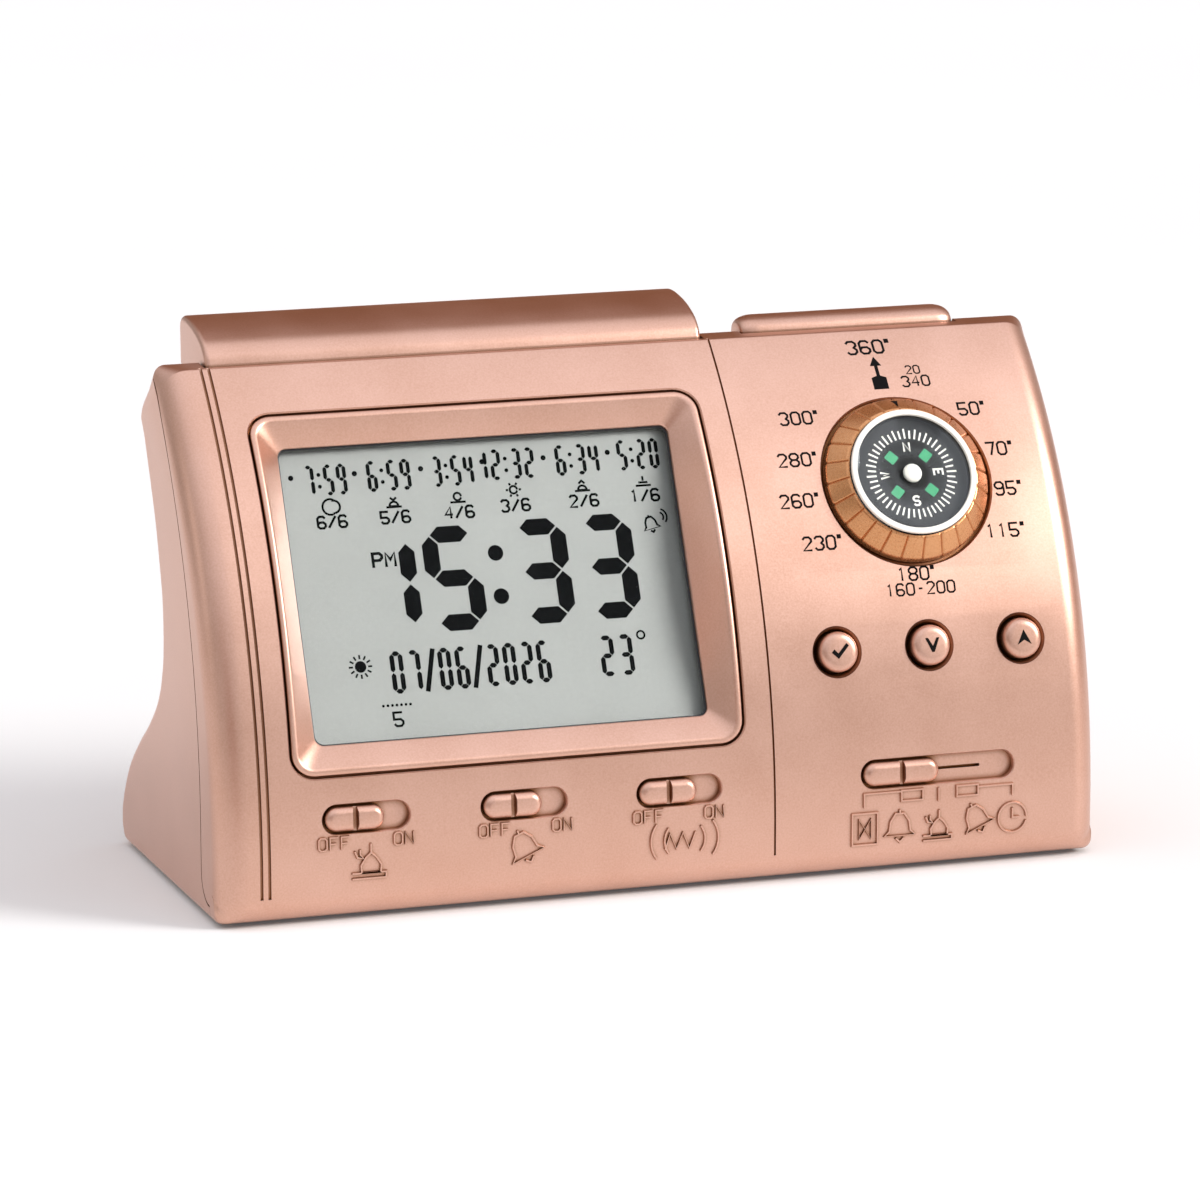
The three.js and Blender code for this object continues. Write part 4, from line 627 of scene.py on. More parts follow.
def on_display(grow, depth):
    return on_panel(display_loop(grow), DISPLAY_X, DISPLAY_ANGLE, depth)


def mouth(name, shape, x, degrees, radius, floor):
    """A cutter with a rounded mouth. shape(grow) is its loop, grown by a distance."""
    rings = [on_plane(shape(radius), x, degrees, -2 * BEYOND), on_panel(shape(radius), x, degrees)]
    rings += [on_panel(shape(0), x, degrees, radius), on_plane(shape(0), x, degrees, floor)]
    return loft(name, softened(rings, (0, 0.6 * radius, 0.6 * radius, 0)))


def stadium(length, height=SLOT_HEIGHT):
    return lambda grow: rounded_loop(length + 2 * grow, height + 2 * grow,
                                     height / 2 + grow - 1e-3, corner_steps=12)


def round_hole(radius):
    return lambda grow: circle(radius + grow)


def front_cutters():
    yield mouth("display_cut", display_loop, DISPLAY_X, DISPLAY_ANGLE, DISPLAY_MOUTH, 1.5 * BEYOND)
    dish, cup = round_hole(RING_RADIUS + DISH_GAP), circle(CUP_RADIUS + CUP_GAP)
    yield mouth("dish_cut", dish, COMPASS_X, COMPASS_ANGLE, DISH_MOUTH, DISH_DEPTH)
    yield plug("cup_cut", cup, COMPASS_X, COMPASS_ANGLE, (-BEYOND, BEYOND))
    for x in BUTTON_XS:
        hole = round_hole(BUTTON_RADIUS + HOLE_GAP)
        yield mouth("button_cut", hole, x, BUTTON_ANGLE, HOLE_MOUTH, BEYOND)
    for x, length, _ in SLOTS:
        yield mouth("slot_cut", stadium(length), x, SLIDER_ANGLE, SLOT_MOUTH, SLOT_DEPTH)
    for x, length, knob in SLOTS:
        reach = slider_travel(length, knob) + POST_WIDTH + SLIT_GAP
        slit = rounded_loop(reach, SLIT_HEIGHT, 0.2)
        yield plug("slit", slit, x, SLIDER_ANGLE, SLIT_DEPTHS)


# %% [markdown]
# ## Grooves, and room for the bar and the pad
# Three fine grooves run up the whole panel: two beside the left edge with a rib between them, and
# one that parts the display's side from the compass's. The bar and the pad each sit in a well.

# %% Grooves and wells
GROOVES = ((-68.15, 0.5), (-66.85, 0.5), (17.9, 0.34))  # place across and width
GROOVE_DEPTH, GROOVE_START, PAST_RIDGE = 0.45, 5.0, 0.05  # the last is an angle
BAR_ENDS, BAR_YS, BAR_RIM, BAR_GAP, BAR_TRAVEL = (-67.0, 17.1), (33.3, 49.4), 82.0, 0.35, 1.2
PAD_ENDS, PAD_YS, PAD_HEIGHTS = (24.9, 62.4), (34.9, 41.8), (76.0, 86.9)
UNDER_BAR, UNDER_PAD = 0.3, 1.5


def groove(x, width):
    top = RIDGE_ANGLE + PAST_RIDGE
    mouth_arc = arc_points(0, top, 60, FACE_RADIUS + BEYOND)
    floor_arc = arc_points(top, 0, 60, FACE_RADIUS - GROOVE_DEPTH)
    start, end = [(-BEYOND, GROOVE_START)], [(GROOVE_DEPTH, GROOVE_START)]
    outline = np.vstack([start, mouth_arc, floor_arc, end])
    return across("groove_cut", outline, (x - width / 2, x + width / 2))


def wells():
    bar_ys = BAR_YS[0] - BAR_GAP, CASE_DEPTH
    pad_ys = PAD_YS[0] - BAR_GAP, PAD_YS[1] + BAR_GAP
    for name, ends, ys, floor in (("bar_cut", BAR_ENDS, bar_ys, BAR_RIM - BAR_TRAVEL - UNDER_BAR),
                                  ("pad_cut", PAD_ENDS, pad_ys, PAD_HEIGHTS[0] - UNDER_PAD)):
        yield slab(name, (ends[0] - BAR_GAP, ends[1] + BAR_GAP), ys, (floor, BAR_CREST + BEYOND))


# %% [markdown]
# ## The front casing
# The outer form is kept where it lies in front of the seam, hollowed to a wall of 2.2 mm, given a
# boss behind the compass so that its recess has a floor, and then cut.

# %% Front casing
front = case_solid("front_shell")
carve(front, [in_front_of_seam("seam")], "INTERSECT")
carve(front, [case_solid("hollow", WALL, 4)])
carve(front, [plug("dish_boss", circle(RING_RADIUS + 3), COMPASS_X, COMPASS_ANGLE,
                   (WALL - 0.25, DISH_DEPTH + 2.1))], "UNION")
carve(front, [*wells(), *front_cutters(), *(groove(*each) for each in GROOVES)])
dress(front, ROSE_LACQUER, "front_casing")
print("front casing:", len(front.data.polygons), "faces")

# %% [markdown]
# ## The rear casing
# The rear is the same outer form behind the seam. It has a plinth under the bar, slots in the waist
# for the loudspeaker, a door for the batteries, and screws sunk into round wells.

# %% Rear casing
SPEAKER_X, SPEAKER_HEIGHT, SPEAKER_SEAT, CONE_RADIUS = 46.3, 46.0, 31.2, 12.6
BACK_SCREW = (69.4, 64.0, 32.5)  # place across, height, and depth of the seat
BASE_SCREW = (65.5, 19.0, 2.9)  # place across, depth, and height of the seat
TUBE_RADIUS, BOSS_RADIUS, HEAD_RADIUS, THREAD_RADIUS, THREAD_LENGTH = 3.2, 3.7, 2.5, 1.4, 7
COLLAR_RADIUS, SPEAKER_WELL_RADIUS = CONE_RADIUS + 4.2, CONE_RADIUS + 2.7
PLINTH_YS, PLINTH_HEIGHTS, PLINTH_WALL, BAR_WALL = (35.25, 46.55), (74.0, 78.0, 83.4), 1.8, 1.6
FEET = [(side * 62.0, y) for y in (11.5, 54.0) for side in (-1, 1)]


def rod(name, radius, start, end, steps=48):
    """A round bar between two drawn places."""
    start, end = Vector(start), Vector(end)
    turn = (end - start).to_track_quat("Z", "Y")
    loop = [turn @ Vector((x, z, 0)) for x, z in circle(radius, steps)]
    return loft(name, [[tuple(place + point) for point in loop] for place in (start, end)])


def speaker_rod(name, radius, *ys):
    return rod(name, radius, *((SPEAKER_X, y, SPEAKER_HEIGHT) for y in ys))


def plinth(name, inset=0.0):
    low, waist, top = PLINTH_HEIGHTS
    front_y, back_y = PLINTH_YS[0], PLINTH_YS[1] - inset
    outline = [(front_y, low), (front_y, top), (back_y, top), (back_y, waist), (back_y - 3, low)]
    edge = BAR_WALL + BAR_GAP + inset
    return across(name, outline, (BAR_ENDS[0] + edge, BAR_ENDS[1] - edge))


def rear_additions():
    x, z, seat = BACK_SCREW
    base_x, base_y, base_seat = BASE_SCREW
    for side in (-1, 1):
        base = side * base_x, base_y
        yield rod("tube", TUBE_RADIUS, (side * x, seat - WALL, z), (side * x, CASE_DEPTH, z))
        yield rod("boss", BOSS_RADIUS, (*base, 0), (*base, base_seat + WALL))
    for inner, outer in ((BAR_ENDS[0] - BAR_GAP, -WALL), (BAR_ENDS[1] + BAR_GAP, WALL)):
        ends, ys = sorted((inner, inner + outer)), (BAR_YS[0] - WALL, BAR_YS[1])
        yield slab("well_side", ends, ys, (PLINTH_HEIGHTS[0], BAR_CREST))
    yield speaker_rod("speaker_collar", COLLAR_RADIUS, SPEAKER_SEAT - 1, CASE_DEPTH)


rear = case_solid("rear_shell")
carve(rear, [case_solid("hollow", WALL, 4)])
for addition in rear_additions():
    carve(addition, [case_solid("rooted", 0.5, 4)], "INTERSECT")
    carve(rear, [addition], "UNION")
speaker_well = SPEAKER_SEAT - 6, SPEAKER_SEAT + 0.3
carve(rear, [speaker_rod("speaker_well", SPEAKER_WELL_RADIUS, *speaker_well)])
bar_well, pad_well = wells()
carve(rear, [bar_well])
carve(rear, [plinth("plinth")], "UNION")
carve(rear, [plinth("plinth_hollow", PLINTH_WALL), pad_well, in_front_of_seam("seam", SEAM_GAP)])
print("rear casing:", len(rear.data.polygons), "faces before its openings")

# %% [markdown]
# ## The battery door
# The door is a piece of the boot's own slope. It hinges on a round bead at its lower edge, whose two
# pins turn in the casing.

# %% Grille, door and screw wells
DOOR_TOP, DOOR_HINGE, DOOR_GAP, DOOR_WALL, DOOR_PIN = 24.3, 12.3, 0.35, 2.0, 0.6
BAY_MIDDLE, BAY_LENGTH, PIN_LENGTH, PIN_GAP = -21.0, 56.0, 1.4, 0.15
GRILLE_SLOTS, GRILLE_PITCH, GRILLE_HEIGHT, GRILLE_CORNER = 7, 3.4, 1.5, 0.7
FOOT_RADIUS, FOOT_SEAT = 4.3, 1.5


def slope_y(height):
    back = OUTLINE[CASE_CORNERS[1]:]  # it falls all the way from the crest to the heel
    return float(np.interp(-height, -back[:, 1], back[:, 0]))


slope_top = np.array([slope_y(DOOR_TOP), DOOR_TOP])
slope_foot = np.array([slope_y(DOOR_HINGE), DOOR_HINGE])
down_slope = (slope_foot - slope_top) / np.linalg.norm(slope_foot - slope_top)
off_slope = np.array([-down_slope[1], down_slope[0]])
DOOR_ENDS = (BAY_MIDDLE - BAY_LENGTH / 2 + 0.5, BAY_MIDDLE + BAY_LENGTH / 2 - 0.5)


def slope_slab(name, top_in, foot_in, ends, outside=BEYOND, inside=-5.0):
    return across(name, [
        slope_top + down_slope * top_in + off_slope * outside,
        slope_foot - down_slope * foot_in + off_slope * outside,
        slope_foot - down_slope * foot_in + off_slope * inside,
        slope_top + down_slope * top_in + off_slope * inside,
    ], ends)


hinge = slope_foot - down_slope * (DOOR_WALL / 2 + DOOR_GAP) - off_slope * DOOR_WALL / 2


def door_rod(name, radius, past, steps):
    """A round bar on the hinge, past the door's ends by a length."""
    return rod(name, radius, (DOOR_ENDS[0] - past, *hinge), (DOOR_ENDS[1] + past, *hinge), steps)


def rear_openings():
    for k in range(GRILLE_SLOTS):
        up = (k - 3) * GRILLE_PITCH
        half = math.sqrt(CONE_RADIUS**2 - up**2)
        loop = rounded_loop(2 * half, GRILLE_HEIGHT, GRILLE_CORNER, corner_steps=5)
        yield loft("grille_cut", [np.column_stack([
            SPEAKER_X + loop[:, 0], np.full(len(loop), y), SPEAKER_HEIGHT + up + loop[:, 1]
        ]) for y in (SPEAKER_SEAT - 1, CASE_DEPTH)])
    yield slope_slab("door_cut", 0, 0, (DOOR_ENDS[0] - DOOR_GAP, DOOR_ENDS[1] + DOOR_GAP))
    yield door_rod("hinge_cut", DOOR_PIN + PIN_GAP, PIN_LENGTH + 0.3, 24)
    for x, y in FEET:
        yield rod("foot_cut", FOOT_RADIUS, (x, y, -BEYOND), (x, y, FOOT_SEAT))
    for side in (-1, 1):
        x, z, seat = side * BACK_SCREW[0], *BACK_SCREW[1:]
        yield rod("head_cut", HEAD_RADIUS, (x, seat, z), (x, CASE_DEPTH, z))
        yield rod("thread_cut", THREAD_RADIUS, (x, seat - THREAD_LENGTH, z), (x, seat + 1, z), 24)
        x, y, seat = side * BASE_SCREW[0], *BASE_SCREW[1:]
        yield rod("head_cut", HEAD_RADIUS, (x, y, -BEYOND), (x, y, seat))
        yield rod("thread_cut", THREAD_RADIUS, (x, y, seat - 1), (x, y, seat + THREAD_LENGTH), 24)


carve(rear, rear_openings())
dress(rear, ROSE_LACQUER, "rear_casing")

door = case_solid("door_panel")
carve(door, [case_solid("hollow", DOOR_WALL, 4)])
door_form = slope_slab("door_form", DOOR_GAP, DOOR_WALL / 2 + DOOR_GAP, DOOR_ENDS)
carve(door, [door_form], "INTERSECT")
bead, pin = door_rod("bead", DOOR_WALL / 2, 0, 32), door_rod("pin", DOOR_PIN, PIN_LENGTH, 24)
carve(door, [bead, pin], "UNION")
dress(door, ROSE_LACQUER, "battery_door")
print("rear casing:", len(rear.data.polygons), "faces; door:", len(door.data.polygons))

# %% [markdown]
# ## The display
# The bezel is a funnel: its lip lies on the bent panel and its foot on the flat plane of the
# display, so every side leans differently. Behind it lie a black frame, a clear pane, and the
# display itself. The frame's edge inside the window is the display's black border and also painted
# shade: a dark line for the shadow in the gap between bezel and display.

# %% Bezel, gasket, pane and display
WINDOW_WIDTH, WINDOW_HEIGHT, WINDOW_CORNER, WINDOW_SETBACK = 65.9, 48.4, 1.5, 5.9
LENS_MARGIN = 2.6


def at_window(grow, distance, corner=WINDOW_CORNER):
    loop = rounded_loop(WINDOW_WIDTH + 2 * grow, WINDOW_HEIGHT + 2 * grow, corner, 24)
    return on_plane(loop, DISPLAY_X, DISPLAY_ANGLE, WINDOW_SETBACK + distance)


def softened_slab(name, loops, reach=0.15):
    """A loft with softened rims at both ends: loops go from the front to the back."""
    first, last = (0.9 * loop + 0.1 * loop.mean(axis=0) for loop in (loops[0], loops[-1]))
    return loft(name, softened([first, *loops, last], (0, *[reach] * len(loops), 0), 3))


bezel_rings = [
    on_display(-0.3, 0.15), on_display(-1.2, 0), at_window(0, 0), at_window(0, 0.5),
    at_window(4, 0.5), on_display(1.5, 3.5), on_display(1.5, 2.5), on_display(-0.3, 2.5),
]
bezel_rings = softened(bezel_rings, (0.3, 0.5, 0.3, 0, 0, 0, 0, 0), closed=True)
bezel = loft("bezel", bezel_rings, lids=False)
dress(bezel, ROSE_LACQUER, "display_bezel")
# a black frame: its edge inside the window is a black border and a painted shade for the gap
border_shade_profile = ((-0.25, 0.55), (3.8, 0.55), (3.8, 0.75), (-0.25, 0.75))
border_shade_rings = [at_window(grow, deep) for grow, deep in border_shade_profile]
border_shade = loft("display_border_shade", softened(border_shade_rings, 0.06, closed=True), lids=False)
dress(border_shade, BLACK_ABS, "display_bezel", stands_for=False)
window = softened_slab("display_pane", [at_window(LENS_MARGIN, deep) for deep in (0.8, 1.8)])
dress(window, ACRYLIC, "display_window")
glass = softened_slab("display_panel", [at_window(LENS_MARGIN, deep) for deep in (2.1, 3.9)])
dress(glass, LCD_FOIL, "lcd_glass")
print("display window", WINDOW_WIDTH, "by", WINDOW_HEIGHT, "mm")

# %% [markdown]
# ## The bar and the pad
# Both are hollow lids with a stem that reaches down to a switch. Their side outlines are smooth
# curves through measured places, and only the lower edges keep corners.

# %% Snooze bar and press pad
STEM_RADIUS, TOP_BOARD_Y, TOP_SWITCH = 1.5, 37.32, 75.5 + 0.8 + BAR_TRAVEL + 0.15
BAR_SHARES = [
    (0, 0.31), (0.045, 0.49), (0.15, 0.675), (0.3, 0.81), (0.45, 0.9), (0.62, 0.965), (0.79, 1),
    (0.91, 0.985), (0.975, 0.9), (1, 0.77),
]
PAD_SHARES = [(0, 0.8), (0.07, 0.89), (0.25, 0.97), (0.5, 1), (0.75, 0.97), (0.93, 0.87), (1, 0.7)]


def lid(name, shares, foot, ends, ys, heights, roll, reach, stem_end):
    """A hollow lid whose side outline runs through shares of its depth and height."""
    curve = np.vstack([foot[:1], through(shares, 6), foot[1:]])
    outline = np.array([ys[0], heights[0]]) + curve * (ys[1] - ys[0], heights[1] - heights[0])
    inside = outline + mitres_of(outline) * BAR_WALL
    inside[[0, -1], 1] -= BEYOND
    end = BAR_WALL + roll * (reach - 1)
    piece = rolled_solid(name, outline, roll, ends, reach)
    carve(piece, [across("inside", inside, (ends[0] + end, ends[1] - end))])
    foot_and_top = ((sum(ends) / 2, TOP_BOARD_Y, height) for height in (TOP_SWITCH, stem_end))
    return carve(piece, [rod("stem", STEM_RADIUS, *foot_and_top)], "UNION")


snooze_bar = lid("bar", BAR_SHARES, [(0, 0), (0.985, 0)], BAR_ENDS, BAR_YS, (BAR_RIM, BAR_CREST),
                 0.9, 1, BAR_CREST - 2 * BAR_WALL)
press_pad = lid("pad", PAD_SHARES, [(0, 0.5), (1, 0)], PAD_ENDS, PAD_YS, PAD_HEIGHTS,
                1.4, 2.2, PAD_HEIGHTS[1] - BAR_WALL)
dress(snooze_bar, ROSE_LACQUER, "snooze_bar")
dress(press_pad, ROSE_LACQUER, "press_pad")
print("bar", BAR_ENDS, "pad", PAD_ENDS)

# %% [markdown]
# ## Turned pieces
# A profile of radii and depths, turned about the panel's normal, makes the buttons and every part
# of the compass. Depths count from the panel into the clock, so what stands proud is negative.

# %% Turned pieces and the three buttons
def turned(name, profile, x, degrees, reach=0.0, closed=False, steps=96):
    rings = [on_plane(circle(radius, steps), x, degrees, deep) for radius, deep in profile]
    return loft(name, softened(rings, reach, closed=closed), lids=not closed)


BUTTON_PROFILE = [(0.3, -1.6), (2.3, -1.56), (2.95, -1.3), (3.3, -0.7), (3.3, 2.75), (4.5, 2.75),
                  (4.5, 3.55), (1.5, 3.55), (1.5, 7.45)]
BUTTON_SOFTNESS = (0, 0.4, 0.3, 0.3, 0.3, 0, 0, 0, 0)
BUTTON_NAMES = ("set", "down", "up")
for x, side in zip(BUTTON_XS, BUTTON_NAMES):
    button = turned(side + "_key", BUTTON_PROFILE, x, BUTTON_ANGLE, BUTTON_SOFTNESS)
    dress(button, ROSE_LACQUER, side + "_button")
print("buttons at X =", BUTTON_XS)

# %% [markdown]
# ## The compass
# The ring turns in the panel's recess. Its slope carries 24 fine V-shaped lines, so its mesh has
# narrow steps at the lines and wide ones between them. An ivory collar lies on the rim of the
# lens, just inside the ring's lip.

# %% Compass ring, cup, collar, lens, card and pivot
RING_INSIDE, RING_LIP, RING_CROWN, RING_PROUD = 11.05, 10.85, 11.3, 3.0
RING_PROFILE = [(RING_INSIDE, 1.4), (14.0, 1.4), (14.0, -0.3), (RING_CROWN, -RING_PROUD),
                (RING_LIP, -RING_PROUD), (RING_LIP, -2.75), (RING_INSIDE, -2.75)]
RING_SOFTNESS = (0, 0.3, 0.35, 0.3, 0, 0, 0)
RING_LINES, LINE_DEPTH, LINE_HALF = 24, 0.28, 1.1  # the last in degrees
LINE_OFFSETS, PLAIN_OFFSETS = (-1.3, -0.9, -0.45, 0, 0.45, 0.9, 1.3), (3.2, 5.4, 7.5, 9.6, 11.8)
LINE_START, LINE_FLOOR = 11.1, 0.3  # lines run from this radius out, and down to this depth


def ring_stations():
    for line in range(RING_LINES):
        start = 360 / RING_LINES * line
        for offset in LINE_OFFSETS:
            yield start + offset, LINE_DEPTH * (1 - min(abs(offset) / LINE_HALF, 1))
        for offset in PLAIN_OFFSETS:
            yield start + offset, 0.0


def in_ring(x, z, deep):
    return on_plane([(x, z)], COMPASS_X, COMPASS_ANGLE, deep)


def compass_ring():
    corners = [np.array([point]) for point in RING_PROFILE]
    profile = [point[0] for point in softened(corners, RING_SOFTNESS, closed=True)]
    rings = []
    for angle, sunk in ring_stations():
        turn, ring = math.radians(angle), []
        for radius, deep in profile:
            if radius > LINE_START and deep < LINE_FLOOR:
                radius, deep = radius - sunk / math.sqrt(2), deep + sunk / math.sqrt(2)
            ring.append(in_ring(radius * math.cos(turn), radius * math.sin(turn), deep))
        rings.append(np.vstack(ring))
    return loft("turning_ring", rings, lids=False, smooth=28)


def in_compass(name, profile, softness, closed=False):
    return turned(name, profile, COMPASS_X, COMPASS_ANGLE, softness, closed, 128)


TURNED = [  # name, node, finish, whether it is a ring, how soft its corners are, profile
    ("capsule_cup", "compass_cup", BLACK_ABS, False, 0.12,
     [(0.3, 4.5), (10.1, 4.5), (10.1, -2.65), (10.9, -2.65), (10.9, 4.1), (13.0, 4.1), (13.0, 5.3),
      (0.3, 5.3)]),
    ("capsule_collar", "compass_collar", IVORY_ABS, True, (0.15, 0.2, 0, 0),
     [(9.8, -3.95), (10.75, -3.95), (10.75, -3.45), (9.8, -3.45)]),
    ("capsule_lens", "compass_lens", ACRYLIC, False, (0, 0.1, 0.1, 0),
     [(0.05, -3.38), (10.66, -3.38), (10.66, -2.88), (0.05, -2.88)]),
    ("compass_rose", "compass_card", CARD_LACQUER, False, (0, 0.15, 0, 0.1, 0.1, 0, 0, 0, 0, 0),
     [(0.3, -2.65), (1.1, -2.65), (1.1, -2.3), (9.6, -2.3), (9.6, -1.8), (1.1, -1.8), (1.1, -1.3),
      (0.65, -1.3), (0.65, -2.3), (0.3, -2.3)]),
    ("compass_pin", "compass_pivot", PLATED_STEEL, False, (0, 0.1, 0.2, 0, 0.1, 0.1, 0),
     [(0.1, -2.15), (0.3, -2.05), (0.5, -1.7), (0.5, 3.4), (1.1, 3.4), (1.1, 4.2), (0.1, 4.2)]),
]
dress(compass_ring(), COPPER_LACQUER, "compass_ring")
for name, node, finish, is_ring, softness, profile in TURNED:
    dress(in_compass(name, profile, softness, is_ring), finish, node)
print("compass at X =", COMPASS_X, "with", RING_LINES, "lines")

# %% [markdown]
# ## The sliders
# A slider is a pill with a notch for the fingernail, and a post through a slit in the slot's floor.
# Behind the floor a thin strip rides along and keeps the slit shut.

# %% Slider knobs and their strips
KNOB_PROUD, KNOB_ROUND, KNOB_STEPS = 0.8, 1.3, 8
NOTCH = ((2.2, -1.6), (0.9, -0.75), (0.6, 0.1))  # its width at each depth
POST_END, STRIP_HEIGHT, STRIP_DEPTHS = 5.6, 3.2, (2.35, 2.7)


def slider(name, x, slot, length, node):
    travel = slider_travel(slot, length)
    middle, height = x - travel / 2, SLOT_HEIGHT - 2 * KNOB_GAP
    rings = [on_plane(stadium(length, height)(0), middle, SLIDER_ANGLE, SLOT_DEPTH - KNOB_GAP)]
    for k in range(KNOB_STEPS + 1):
        turn = k / KNOB_STEPS * math.pi / 2
        inward = KNOB_ROUND * (1 - math.cos(turn))
        deep = KNOB_ROUND - KNOB_PROUD - KNOB_ROUND * math.sin(turn)
        pill = stadium(length - 2 * inward, height - 2 * inward)(0)
        rings.append(on_plane(pill, middle, SLIDER_ANGLE, deep))
    knob = loft(name, rings)
    notch = [on_plane(rounded_loop(width, 9, 0.2), middle, SLIDER_ANGLE, deep)
             for width, deep in NOTCH]
    carve(knob, [loft("notch", softened(notch, (0, 0.3, 0), 3))])
    post = rounded_loop(POST_WIDTH, SLIT_HEIGHT - 0.16, 0.15)
    strip = rounded_loop(2 * (slot - length + POST_WIDTH + 1.6), STRIP_HEIGHT, 0.5)
    carve(knob, [plug("post", post, middle, SLIDER_ANGLE, (SLOT_DEPTH - 0.8, POST_END)),
                 plug("strip", strip, middle, SLIDER_ANGLE, STRIP_DEPTHS)], "UNION")
    return dress(knob, ROSE_LACQUER, node)


for slot, name in zip(SLOTS, ("prayer_alarm", "daily_alarm", "snooze_mode", "set_mode")):
    slider(name + "_knob", *slot, name + "_slider")
print("slider travels", [round(slider_travel(slot, knob), 2) for _, slot, knob in SLOTS], "mm")

# %% [markdown]
# ## Marks
# Everything printed, raised or shown is a thin solid laid on its surface: a filled outline, or a
# stroke that follows a path. A mark is drawn in flat millimetres, and its place function bends it
# onto the panel or tilts it onto a plane. So the same digit can be used on the display and on the
# panel.

# %% Filled outlines, strokes and the solids made of them
def stroke(path, width, closed=False):
    path = np.asarray(path, float)
    ahead, behind = np.roll(path, -1, axis=0) - path, path - np.roll(path, 1, axis=0)
    if not closed:
        ahead[-1], behind[0] = behind[-1], ahead[0]
    ahead, behind = (way / np.linalg.norm(way, axis=1, keepdims=True) for way in (ahead, behind))
    turn = 1 + np.sum(ahead * behind, axis=1, keepdims=True)
    side = (ahead + behind)[:, ::-1] * (-1, 1) / np.maximum(turn, 0.7)
    return path, side * width / 2, closed


def marks(name, shapes, place, proud, sunk=0.05, top=1.0):
    """One mesh of many marks. top is the width of a stroke's top as a share of its foot."""
    points, faces = [], []
    for shape in shapes:
        if isinstance(shape, tuple):
            path, side, closed = shape
            edges = [(path + side * top, -proud), (path - side * top, -proud),
                     (path - side, sunk), (path + side, sunk)]
            rings = np.stack([place(edge, depth) for edge, depth in edges], axis=1)
        else:
            closed, rings = False, np.stack([place(shape, -proud), place(shape, sunk)])
        faces += ring_faces(*rings.shape[:2], not closed, len(points))
        points += list(rings.reshape(-1, 3))
    return mesh_piece(name, points, faces, smooth=20)


def lay_on(node, finish, name, shapes, place, *measures):
    """Marks that are drawn besides the piece that stands for a node, and move with it."""
    dress(marks(name, shapes, place, *measures), finish, node, stands_for=False)


def turned_by(shapes, degrees, x=0.0, z=0.0, scale=1.0):
    """Paths and outlines turned, scaled and moved."""
    cos, sin = math.cos(math.radians(degrees)), math.sin(math.radians(degrees))
    basis = scale * np.array([(cos, sin), (-sin, cos)])
    return [np.asarray(shape, float) @ basis + (x, z) for shape in shapes]


def arc(x, z, radius, start, end, steps=12):
    turn = np.radians(np.linspace(start, end, steps))
    return np.column_stack([x + radius * np.cos(turn), z + radius * np.sin(turn)])


# %% [markdown]
# ## Digits
# The display's digits have seven bars with pointed ends, as every such display has. What is
# printed on the casing uses a plain stroke alphabet, drawn on a grid four wide and six high.

# %% Display digits and a stroke alphabet
BARS = {"0": "abcdef", "1": "bc", "2": "abged", "3": "abgcd", "4": "fgbc", "5": "afgcd",
        "6": "afgedc", "7": "abc", "8": "abcdefg", "9": "abcdfg"}
WIDTHS = {"1": 0.4, ":": 0.35, "/": 0.75}
LETTERS = {
    "0": "10 30 41 45 36 16 05 01 10", "1": "15 26 20", "2": "05 16 36 45 44 00 40",
    "3": "05 16 36 45 44 33 42 41 30 10 01", "4": "30 36 02 42",
    "5": "46 06 03 33 42 41 30 10 01", "6": "45 36 16 05 01 10 30 41 42 33 13 02",
    "7": "06 46 20", "8": "13 04 05 16 36 45 44 33 13 02 01 10 30 41 42 33",
    "9": "01 10 30 41 45 36 16 05 04 13 33 44", "O": "10 30 41 45 36 16 05 01 10",
    "N": "00 06 40 46", "F": "00 06 46,03 33", "P": "00 06 36 45 44 33 03",
    "M": "00 06 23 46 40", "E": "46 06 00 40,03 33", "W": "06 10 24 30 46",
    "S": "01 10 30 41 42 33 13 04 05 16 36 45", "°": "06 16 15 05 06", "-": "13 33",
    "/": "00 46",
}
DIGIT_SPACE = 0.3  # of a digit's width


def bar_digit(digit, x, z, width, height, thick, gap):
    low, middle, high = z + thick / 2, z + height / 2, z + height - thick / 2
    left, right = x + thick / 2, x + width - thick / 2
    ends = {
        "a": (left, high, right, high), "b": (right, middle, right, high),
        "c": (right, low, right, middle), "d": (left, low, right, low),
        "e": (left, low, left, middle), "f": (left, middle, left, high),
        "g": (left, middle, right, middle),
    }
    for bar in BARS[digit]:
        start, end = np.array(ends[bar][:2]), np.array(ends[bar][2:])
        along = (end - start) / np.linalg.norm(end - start)
        start, end = start + along * gap, end - along * gap
        lean, side = along * thick / 2, along[::-1] * (-1, 1) * thick / 2
        yield np.array([start, start + lean - side, end - lean - side,
                        end, end - lean + side, start + lean + side])


def bar_text(text, x, z, thick, gap=0.05):
    """Display digits that fill the widths x and the heights z."""
    height = z[1] - z[0]
    units = sum(WIDTHS.get(character, 1) for character in text) + DIGIT_SPACE * (len(text) - 1)
    unit, at = (x[1] - x[0]) / units, x[0]
    for character in text:
        width = unit * WIDTHS.get(character, 1)
        if character == ":":
            for share in (0.3, 0.68):
                yield circle(0.55 * thick, 8, at + width / 2, z[0] + share * height)
        elif character == "/":
            yield stroke([(at, z[0]), (at + width, z[1])], thick)
        else:
            yield from bar_digit(character, at, z[0], width, height, thick, gap)
        at += width + unit * DIGIT_SPACE


def written(text, x, z, height, width, align=0.5):
    """Stroke letters of a height, from x at align 0, about x at 0.5, up to x at 1."""
    cell, step = height / 6, 5.6 * height / 6
    start = x - align * (step * len(text) - 1.6 * cell)
    for k, character in enumerate(text):
        for line in LETTERS[character].split(","):
            grid = np.array([[int(digit) for digit in point] for point in line.split()], float)
            closed = bool(np.all(grid[0] == grid[-1]))
            path = grid * cell + (start + k * step, z)
            yield stroke(path[:-1] if closed else path, width, closed)


